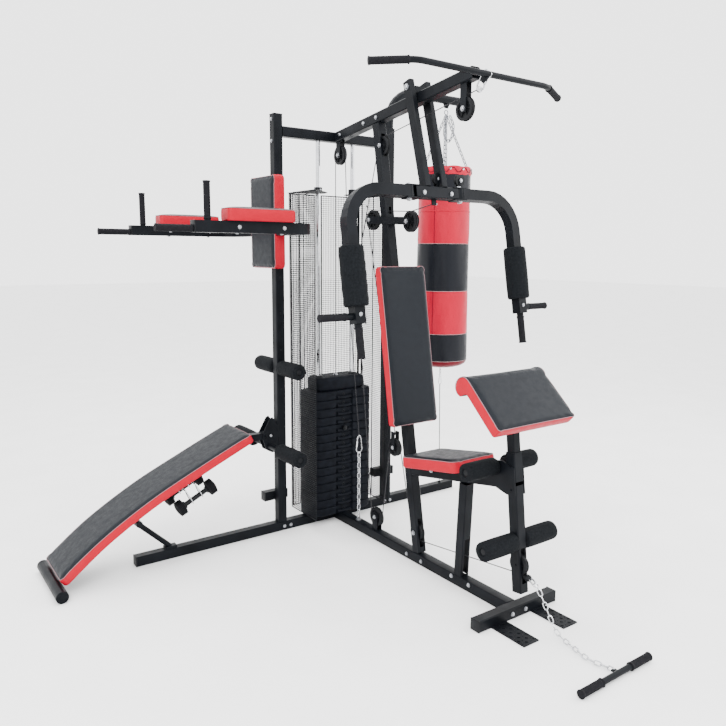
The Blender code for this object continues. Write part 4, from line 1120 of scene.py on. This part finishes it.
def lat_bar():
    """The bent bar with its grips, and the snap hook that it hangs on."""
    shape = Shape()
    path = [(-0.533, -1.033, 2.207), (-0.366, -1.111, 2.222), (0.366, -1.111, 2.222), (0.533, -1.033, 2.207)]
    route = [Vector(path[0])]
    for index in (1, 2):
        corner, before, after = (Vector(path[i]) for i in (index, index - 1, index + 1))
        start = corner + (before - corner).normalized() * 0.030
        end = corner + (after - corner).normalized() * 0.030
        route += [start.lerp(corner, t).lerp(corner.lerp(end, t), t) for t in (0, 0.2, 0.4, 0.6, 0.8, 1)]
    shape.tube(route + [Vector(path[3])], 0.0125, PAINT, 20)
    for side in SIDES:
        grip(shape, (side * 0.392, -1.0988, 2.2197), (side * 0.535, -1.032, 2.2069), 0.0150)
    shape.block((0.014, 0.030, 0.030), (0, -1.098, 2.205), PAINT, X, (0, 0.6, -0.8), 0.002)
    shape.piece("lat_bar_finished", "lat_bar_body", "black_frame_paint", ["lat_bar"])
    links = Shape()
    carabiner(links, (0, -1.108, 2.240), (0, -1.070, 2.164), 0.038, 0.0036, Y)
    loop = [(0.010, -1.108, 2.236), (0.016, -1.122, 2.222), (0.010, -1.108, 2.206), (0.004, -1.094, 2.222)]
    links.tube(smooth_path(loop, 4, closed=True), 0.0024, CHROME, 8, closed=True)
    stop = [(0, 0), (0.010, 0), (0.013, 0.006), (0.013, 0.014), (0.008, 0.020), (0, 0.020)]
    links.lathe(stop, (0, -1.078, 2.176), (0, 0.5, -0.6), CHROME, 24)
    links.piece("lat_bar_links", "lat_bar_body", "chrome")


def press_hardware():
    """The bolts of the press arm, and the two small guide pulleys on its cross bar."""
    bolts = Shape()
    for side in SIDES:
        pin = PRESS_BAR + X * side * 0.150
        bolts.bolt(pin + LEAN * 0.0296, LEAN, 0.011, 0.009)
        bolts.bolt(pin - LEAN * 0.0296, -LEAN, 0.011, 0.009)
        bolts.bolt(PRESS_PIVOT + X * side * 0.065, X * side, 0.011, 0.009)
        bolts.bolt(PRESS_BAR + X * side * 0.080 - Y * 0.0255, -Y, 0.008)
    bolts.bolt(PRESS_BAR - LEAN * 0.046 + X * 0.010 + Y * 0.010, X, 0.006, 0.005)
    bolts.piece("press_arm_bolts", "press_arm_body", "chrome")

    guides = Shape()
    groove = [(0.0045, 0.008), (0.027, 0.008), (0.027, 0.006), (0.020, 0.0)]
    groove += [(0.027, -0.006), (0.027, -0.008), (0.0045, -0.008)]
    for x in (0.036, 0.172):
        place = Vector((x, -0.782, 1.838))
        guides.lathe(groove, place, -Y, PLASTIC, 32, True)
        for side in SIDES:
            cheek = place + Vector((0, side * 0.0105, -0.020))
            guides.block((0.020, 0.0025, 0.058), cheek, PAINT, edge=0.001)
        guides.bolt(place - Y * 0.0118, -Y, 0.007, 0.005)
    guides.piece("press_guide_pulleys", "press_arm_body", "black_plastic")


def butterfly(side, body, arm, foam):
    """The foam sleeve, the rubber grips and the bolts of one arm."""
    line = PRESS_BAR + X * side * ARM_X
    sleeve = Shape()
    length = 0.249
    profile = [(0.030, 0.0), (0.046, 0.0), (0.0512, 0.004), (0.0525, 0.010)]
    for step in range(1, 8):
        swell = 0.0012 * math.sin(math.pi * step / 8)
        profile.append((0.0525 + swell, 0.010 + (length - 0.020) * step / 8))
    profile += [(0.0525, length - 0.010), (0.0512, length - 0.004), (0.046, length), (0.030, length)]
    sleeve.lathe(profile, line - LEAN * 0.489, LEAN, FOAM, 48, True)
    piece = sleeve.piece(foam + "_sleeve", body, "black_foam", [foam])
    grips = Shape()
    foot = line - LEAN * 0.530
    grip(grips, foot + X * side * 0.060, foot + X * side * 0.186, 0.0155)
    grip(grips, foot - LEAN * 0.045, foot - LEAN * 0.176, 0.0170)
    for turn in SIDES:
        grips.bolt(foot + Y * turn * 0.0255 + LEAN * 0.012, Y * turn, 0.007, 0.005)
    grips.piece(arm + "_grips", body, "black_foam")


def low_row():
    """The straight bar on its chain, with the cable stop that the chain hooks on."""
    shape = Shape()
    left, right = Vector((-0.247, -1.899, 0.0173)), Vector((0.158, -1.899, 0.0173))
    shape.rod(left, right, 0.0115, PAINT)
    for end, way in ((left, 1), (right, -1)):
        grip(shape, end - X * way * 0.0005, end + X * way * 0.120, 0.0150)
    shape.block((0.020, 0.024, 0.008), (-0.028, -1.8830, 0.0165), PAINT, edge=0.0018)
    ball = [(0, 0), (0.009, 0.001), (0.014, 0.009), (0.014, 0.021), (0.009, 0.029), (0, 0.030)]
    shape.lathe(ball, (0, -1.424, 0.189), -Y, PLASTIC, 24)
    route = [
        (0, -1.450, 0.187),
        (0, -1.482, 0.176),
        (0, -1.520, 0.129),
        (0, -1.566, 0.060),
        (-0.004, -1.609, 0.020),
        (-0.017, -1.688, 0.0105),
        (-0.036, -1.770, 0.0105),
        (-0.024, -1.846, 0.0115),
        (-0.028, -1.876, 0.017),
    ]
    shape.piece("low_row_bar", "low_row_body", "black_frame_paint", ["low_row"])
    links = Shape()
    chain(links, route, 0.027, 0.020, 0.0024, twist=math.radians(45))
    carabiner(links, (0, -1.446, 0.190), (0, -1.490, 0.170), 0.022, 0.0024)
    links.piece("low_row_chain", "low_row_body", "chrome")


# Foam rollers


def roller(name, node, middle, along, inner, outer, radius, body):
    """A bar through the frame with a foam sleeve on each side and a plug in each end."""
    middle = Vector(middle)
    bar = Shape()
    bar.rod(middle - along * (outer - 0.006), middle + along * (outer - 0.006), 0.0125, PAINT)
    sleeves = Shape()
    length = outer - inner
    for side in SIDES:
        profile = [(0.013, 0.0), (radius - 0.007, 0.0), (radius - 0.002, 0.0025), (radius, 0.008)]
        steps = 6
        for step in range(1, steps):
            swell = 0.0010 * math.sin(math.pi * step / steps)
            profile.append((radius + swell, 0.008 + (length - 0.016) * step / steps))
        profile += [(radius, length - 0.008), (radius - 0.002, length - 0.0025), (radius - 0.007, length)]
        profile += [(0.019, length), (0.0175, length - 0.004), (0.013, length - 0.004)]
        sleeves.lathe(profile, middle + along * side * inner, along * side, FOAM, 44, True)
        plug = [(0, 0.0), (0.0125, 0.0), (0.0145, 0.002), (0.0145, 0.004), (0.010, 0.006), (0, 0.006)]
        bar.lathe(plug, middle + along * side * (outer - 0.010), along * side, PLASTIC, 24)
    bar.piece(name + "_bar", body, "black_frame_paint")
    piece = sleeves.piece(name + "_sleeves", body, "black_foam", [node])


def rollers():
    """The four pairs of foam sleeves."""
    roller("thigh_foam", "thigh_roller", (0, -1.261, 0.626), X, 0.033, 0.203, 0.038, "gym_frame")
    roller("upright_foam", "upright_roller", (-0.358, 0, 0.903), Y, 0.030, 0.215, 0.040, "gym_frame")
    roller("bench_leg_foam", "bench_leg_roller", (-0.436, 0, 0.490), Y, 0.148, 0.354, 0.039, "gym_frame")
    ankle = Vector((0, -1.330 - (0.750 - 0.330) * 0.112, 0.330))
    roller("ankle_foam", "ankle_roller", ankle, X, 0.027, 0.208, 0.040, "leg_developer_body")


# Pads


def straight_pad(name, node, high, low, normal, thickness, across, width, **sizes):
    """A flat pad of the frame. Its face runs from high to low and looks along normal."""
    normal = Vector(normal).normalized()
    shift = normal * -SWELL
    top = [(Vector(high) + shift).lerp(Vector(low) + shift, step / 4) for step in range(5)]
    bottom = [point - normal * (thickness - SWELL) for point in top]
    return Pad(name, top, bottom, across, width, "gym_frame", node, **sizes)


def shifted(path, distance):
    """The plane path moved to its right by this distance."""
    moved = []
    for index, point in enumerate(path):
        along = (path[min(index + 1, len(path) - 1)] - path[max(index - 1, 0)]).normalized()
        moved.append(point + Vector((along.y, -along.x)) * distance)
    return moved


def pads():
    """Every cushion, drawn SWELL thinner than it ends up, as the stuffing adds that."""
    along = (BACK_TOP - BACK_LOW).normalized()
    normal = (0, -along.z, along.y)
    made = [straight_pad("back_cushion", "back_pad", BACK_TOP, BACK_LOW, normal, 0.045, X, 0.278)]
    rear, front = Vector((0, -0.746, 0.560)), Vector((0, -1.119, 0.626))
    along = (front - rear).normalized()
    normal = (0, along.z, -along.y)
    made.append(straight_pad("seat_cushion", "seat_pad", rear, front, normal, 0.055, X, 0.258, corner=0.030))
    high, low = (-0.4465, 0, 1.884), (-0.4465, 0, 1.424)
    made.append(straight_pad("knee_raise_back", "vkr_back_pad", high, low, -X, 0.0632, Y, 0.260))
    for side, place in zip(SIDES, ("front", "rear")):
        names = ("arm_cushion_" + place, "vkr_arm_pad_" + place)
        high, low = (-0.838, side * VKR_ARM_Y, 1.697), (-0.510, side * VKR_ARM_Y, 1.697)
        made.append(straight_pad(*names, high, low, Z, 0.0597, Y, 0.098, corner=0.016, step=0.011))
    curve = [Vector((p.x, p.y)) for p in smooth_path([(x, z, 0) for x, z in BENCH_TOP], 6)]
    top, bottom = ([(p.x, 0, p.y) for p in shifted(curve, distance)] for distance in (SWELL, 0.047))
    made.append(Pad("bench_cushion", top, bottom, Y, 0.298, "bench", "bench_pad", corner=0.024, step=0.015))
    made.append(preacher_cushion())
    return made


def preacher_cushion():
    """The arm rest: a board that ends in a roll at its top."""
    slope = math.radians(43.6)
    down = Vector((0, -math.cos(slope), -math.sin(slope)))
    out = Vector((0, -math.sin(slope), math.cos(slope)))
    high = Vector((0, -1.257, 1.044))
    centre = (0.040, -0.046)
    count = 12
    end = 0.286
    top = arc(centre, 0.046 - SWELL, 290, 90, 14)
    top += [(centre[0] + (end - centre[0]) * step / count, -SWELL) for step in range(1, count + 1)]
    bottom = []
    for index, (u, v) in enumerate(top):
        if index < 15:
            share = index / 14
            bottom.append((0.058 + 0.017 * share, -0.0885 + 0.0385 * share))
        else:
            share = (u - centre[0]) / (end - centre[0])
            bottom.append((0.075 + (end - 0.075) * share, -0.050))
    top, bottom = ([high + down * u + out * v for u, v in line] for line in (top, bottom))
    sizes = {"corner": 0.014, "edge": 0.008}
    return Pad("preacher_cushion", top, bottom, X, 0.453, "preacher", "preacher_pad", **sizes)


def upholster(pads):
    """Stuffs every pad in one run of the cloth simulation, then finishes each."""
    scene = bpy.context.scene
    for pad in pads:
        pad.stuff()
    for number in range(1, SIMULATED_FRAMES + 1):
        scene.frame_set(number)
    for pad in pads:
        pad.settle()
    scene.frame_set(1)
    for pad in pads:
        pad.dress()


# Knee raise station, bench and dumbbells


def knee_raise_details():
    """The grips, the plates under the arm cushions, and their bolts."""
    shape = Shape()
    for side in SIDES:
        y = side * VKR_ARM_Y
        grip(shape, (-0.985, y, VKR_Z - 0.009), (-1.143, y, VKR_Z - 0.009), 0.0155)
        grip(shape, (-0.916, y, VKR_Z + 0.030), (-0.916, y, 1.801), 0.0148)
        shape.block((0.120, 0.058, 0.004), (-0.690, y, VKR_Z + 0.0265), PAINT, edge=0.001)
        for x in (-0.780, -0.560):
            shape.bolt((x, y - 0.025, VKR_Z), -Y, 0.007, 0.005)
            shape.bolt((x, y + 0.025, VKR_Z), Y, 0.007, 0.005)
            shape.bolt((x, y, VKR_Z - 0.025), -Z, 0.007, 0.005)
    shape.piece("knee_raise_grips", "gym_frame", "black_foam")


def bench_details():
    """The foot grip, the dumbbells and the spring clips that hold them under the bench."""
    shape = Shape()
    grip(shape, (-1.536, -0.197, 0.0275), (-1.536, 0.197, 0.0275), 0.0255, FOAM)
    shape.piece("bench_foot_grip", "bench", "black_foam")
    dumbbell(-1, "dumbbell_front", "front_dumbbell")
    dumbbell(1, "dumbbell_rear", "rear_dumbbell")
    clips = Shape()
    first, second = DUMBBELL_HEADS
    along = (second - first).normalized()
    up = Vector((-along.z, 0, along.x))
    bend = [up * 0.062, up * 0.030 + Y * 0.017, up * 0.000 + Y * 0.0185, up * -0.014 + Y * 0.013]
    for side in SIDES:
        for share in (0.34, 0.66):
            place = first.lerp(second, share) + Y * side * DUMBBELL_Y
            for turn in SIDES:
                path = [place + Vector((v.x, v.y * turn, v.z)) for v in bend]
                clips.tube(smooth_path(path, 4), 0.0024, CHROME, 8)
    for share in (0.34, 0.66):
        place = first.lerp(second, share) + up * 0.060
        clips.tube([place - Y * 0.086, place + Y * 0.086], 0.004, CHROME, 12)
    clips.piece("dumbbell_clips", "bench", "chrome")


def dumbbell(side, node, body):
    """Two ribbed heads on a handle."""
    first, second = (head + Y * side * DUMBBELL_Y for head in DUMBBELL_HEADS)
    along = (second - first).normalized()
    shape = Shape()
    profile = [(0, -0.022), (0.020, -0.022), (0.024, -0.019), (0.030, -0.019), (0.0345, -0.017)]
    for rib in range(5):
        middle = -0.014 + 0.007 * rib
        profile += [(0.0365, middle - 0.0028), (0.0400, middle - 0.0012)]
        profile += [(0.0400, middle + 0.0012), (0.0365, middle + 0.0028)]
    profile += [(0.0345, 0.017), (0.030, 0.019), (0.024, 0.019), (0.020, 0.022), (0, 0.022)]
    for place in (first, second):
        shape.lathe(profile, place, along, GRIP, 36)
    shape.rod(first + along * 0.020, second - along * 0.020, 0.0120, PLASTIC)
    for place, way in ((first, 1), (second, -1)):
        start = place + along * way * 0.022
        shape.rod(start, start + along * way * 0.006, 0.0185, PLASTIC)
    shape.piece(node + "_finished", body, "black_plastic", [node])


# Punch bag

BAG_BANDS = (  # from the top: (the band's lower edge, material)
    (1.830, BAG_BLACK),
    (1.560, BAG_RED),
    (1.280, BAG_BLACK),
    (1.021, BAG_RED),
    (0.857, BAG_BLACK),
)


def bag_radius(angle, z):
    """The bag's skin: packed full, a little wider at the foot, with soft dents."""
    share = (z - BAG_FOOT) / (BAG_TOP - BAG_FOOT)
    swell = 0.1570 + 0.0022 * math.cos(share * math.pi)
    dents = 0.0011 * math.sin(3 * angle + 5.1 * z) + 0.0008 * math.sin(5 * angle - 9.0 * z + 1.0)
    creases = 0.0006 * math.sin(11 * angle + 2.0 * math.sin(14 * z))
    return swell + dents + creases


def round_bag(angle, radius, z):
    """The point at this angle and radius from the bag's middle line."""
    return BAG + Vector((radius * math.cos(angle), radius * math.sin(angle), z))


def bag_ring(z, shrink=0.0):
    """The bag's outline at this height, drawn in by shrink."""
    return [round_bag(angle, bag_radius(angle, z) - shrink, z) for angle in turns(BAG_SIDES)]


def bag_skin():
    """The bands from the top down, the domed foot and the sunk lid."""
    shape = Shape()
    high = BAG_TOP
    for low, material in BAG_BANDS:
        steps = max(3, round((high - low) / 0.022))
        loops = []
        for step in range(steps + 1):
            level = high + (low - high) * step / steps
            loops.append(bag_ring(level, 0.0016 * max(0.0, 1 - min(high - level, level - low) / 0.008)))
        shape.rings(loops, material, caps=False)
        high = low
    loops = [[Vector((p.x, p.y, level)) for p in bag_ring(BAG_FOOT, inset)] for level, inset in BAG_DOME]
    shape.rings(loops, BAG_DARK_RED, caps=False)
    shape.lid(BAG_SIDES, BAG_DARK_RED)
    rim = bag_ring(BAG_TOP, 0.0016)
    inner = [BAG + (p - BAG - Z * BAG_TOP) * 0.9 + Z * (BAG_TOP - 0.012) for p in rim]
    shape.rings([rim, inner], BAG_BLACK, caps=False)
    shape.lid(BAG_SIDES, BAG_BLACK)
    bag = shape.piece("punch_bag_skin", "bag", "bag_vinyl", ["punch_bag"], 50)


def bag_seams():
    """The thread between the bands, a welt round the upper red part, and the long seam down the side."""
    trim = Shape()
    for level, _ in BAG_BANDS:
        trim.tube(bag_ring(level, -0.0002), 0.0011, THREAD, 6, closed=True)
    trim.tube(bag_ring(1.750, -0.0006), 0.0030, BAG_RED, 8, closed=True)
    angle = math.radians(208)
    seam = []
    for step in range(60):
        z = 1.970 - (1.970 - 0.860) * step / 59
        seam.append(round_bag(angle, bag_radius(angle, z) + 0.0002, z))
    trim.tube(seam, 0.0013, BAG_BLACK, 6)
    trim.piece("punch_bag_seams", "bag", "bag_vinyl")


def bag_skirt():
    """The gathered collar round the bag's rim, with eyelets and a lace."""
    skirt = Shape()
    loops = []
    for level, puff in ((1.958, 0.001), (1.968, 0.0055), (1.996, 0.0065), (2.006, 0.002), (2.000, -0.004)):
        loop = []
        for angle in turns(BAG_SIDES):
            radius = 0.1535 + puff * 0.8 + 0.0016 * math.cos(18 * angle)
            loop.append(round_bag(angle, radius, level + 0.002 * math.sin(9 * angle)))
        loops.append(loop)
    skirt.rings(loops, BAG_RED, caps=False)
    for angle in turns(12):
        eyelet = [(0.003, -0.001), (0.0065, -0.001), (0.0065, 0.0015), (0.003, 0.0015)]
        outward = Vector((math.cos(angle), math.sin(angle), 0))
        skirt.lathe(eyelet, round_bag(angle, 0.1600, 1.990), outward, CHROME, 16, True)
    heights = (1.996, 1.996, 1.972, 1.972)
    lace = [round_bag(angle, 0.1615, heights[index % 4]) for index, angle in enumerate(turns(48))]
    skirt.tube(lace, 0.0018, BAG_BLACK, 6, closed=True)
    skirt.piece("punch_bag_skirt", "bag", "bag_vinyl")


def bag_chain():
    """Four chains from eyes at the bag's rim up to a ring, and the spare chain that hangs there."""
    hook = BAG + Z * BAG_HOOK_Z
    links = Shape()
    links.tube(circle(hook - Z * 0.022, X * 0.013, Z * 0.013, 20), 0.0030, CHAIN_STEEL, 8, closed=True)
    for index in range(4):
        angle = math.radians(45 + 90 * index)
        corner = round_bag(angle, 0.138, 1.990)
        chain(links, [hook - Z * 0.036, corner], 0.026, 0.018, 0.0026, CHAIN_STEEL)
        outward = Vector((math.cos(angle), math.sin(angle), 0))
        links.tube(circle(corner, outward * 0.010, Z * 0.011, 14), 0.0026, CHAIN_STEEL, 8, closed=True)
    spare = [(0.020, -0.010, -0.040), (0.046, -0.016, -0.095), (0.034, -0.014, -0.165)]
    spare += [(0.006, -0.012, -0.190), (-0.022, -0.012, -0.150), (-0.014, -0.010, -0.085)]
    spare.append((0.002, -0.008, -0.040))
    chain(links, [hook + Vector(p) for p in spare], 0.026, 0.019, 0.0028, CHAIN_STEEL)
    links.piece("bag_chains", "bag", "chrome", ["bag_chain"])


def bag_tether():
    """Under the bag: a short chain with a snap hook, and the cord from there down to the base tube."""
    links = Shape()
    chain(links, [(0.785, 0, 0.806), (0.785, 0, 0.745)], 0.020, 0.015, 0.0020)
    carabiner(links, (0.785, 0, 0.750), (0.785, 0, 0.690), 0.020, 0.0022)
    links.piece("tether_links", "bag", "chrome")
    points = [(0.785, 0, 0.694), (0.785, 0, 0.640), (0.787, 0, 0.588), (0.7885, 0, 0.520), (0.791, 0, 0.400)]
    points += [(0.794, 0, 0.250), (0.7965, 0, 0.140), (0.7985, 0, 0.060), (0.799, 0, 0.0515)]
    path = smooth_path(points, 6)
    piece = cable_piece("tether_cord", path, None, ["bag_tether"], 0.0026)
    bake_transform(piece)
    anchor = Shape()
    foot = [(0, 0), (0.009, 0), (0.009, 0.003), (0.005, 0.008), (0, 0.008)]
    anchor.lathe(foot, (0.799, 0, 0.050), Z, PLASTIC, 20)
    anchor.piece("tether_anchor", "gym_frame", "black_plastic")


camera()
studio()
paint_frame()
base_tube()
tube_plugs()
frame_bolts()
tread_ribs()
weight_plates()
shrouds()
wheels()
cables()
lat_bar()
press_hardware()
butterfly(-1, "butterfly_left", "butterfly_arm_left", "butterfly_foam_left")
butterfly(1, "butterfly_right", "butterfly_arm_right", "butterfly_foam_right")
low_row()
rollers()
knee_raise_details()
bench_details()
bag_skin()
bag_seams()
bag_skirt()
bag_chain()
bag_tether()
upholster(pads())
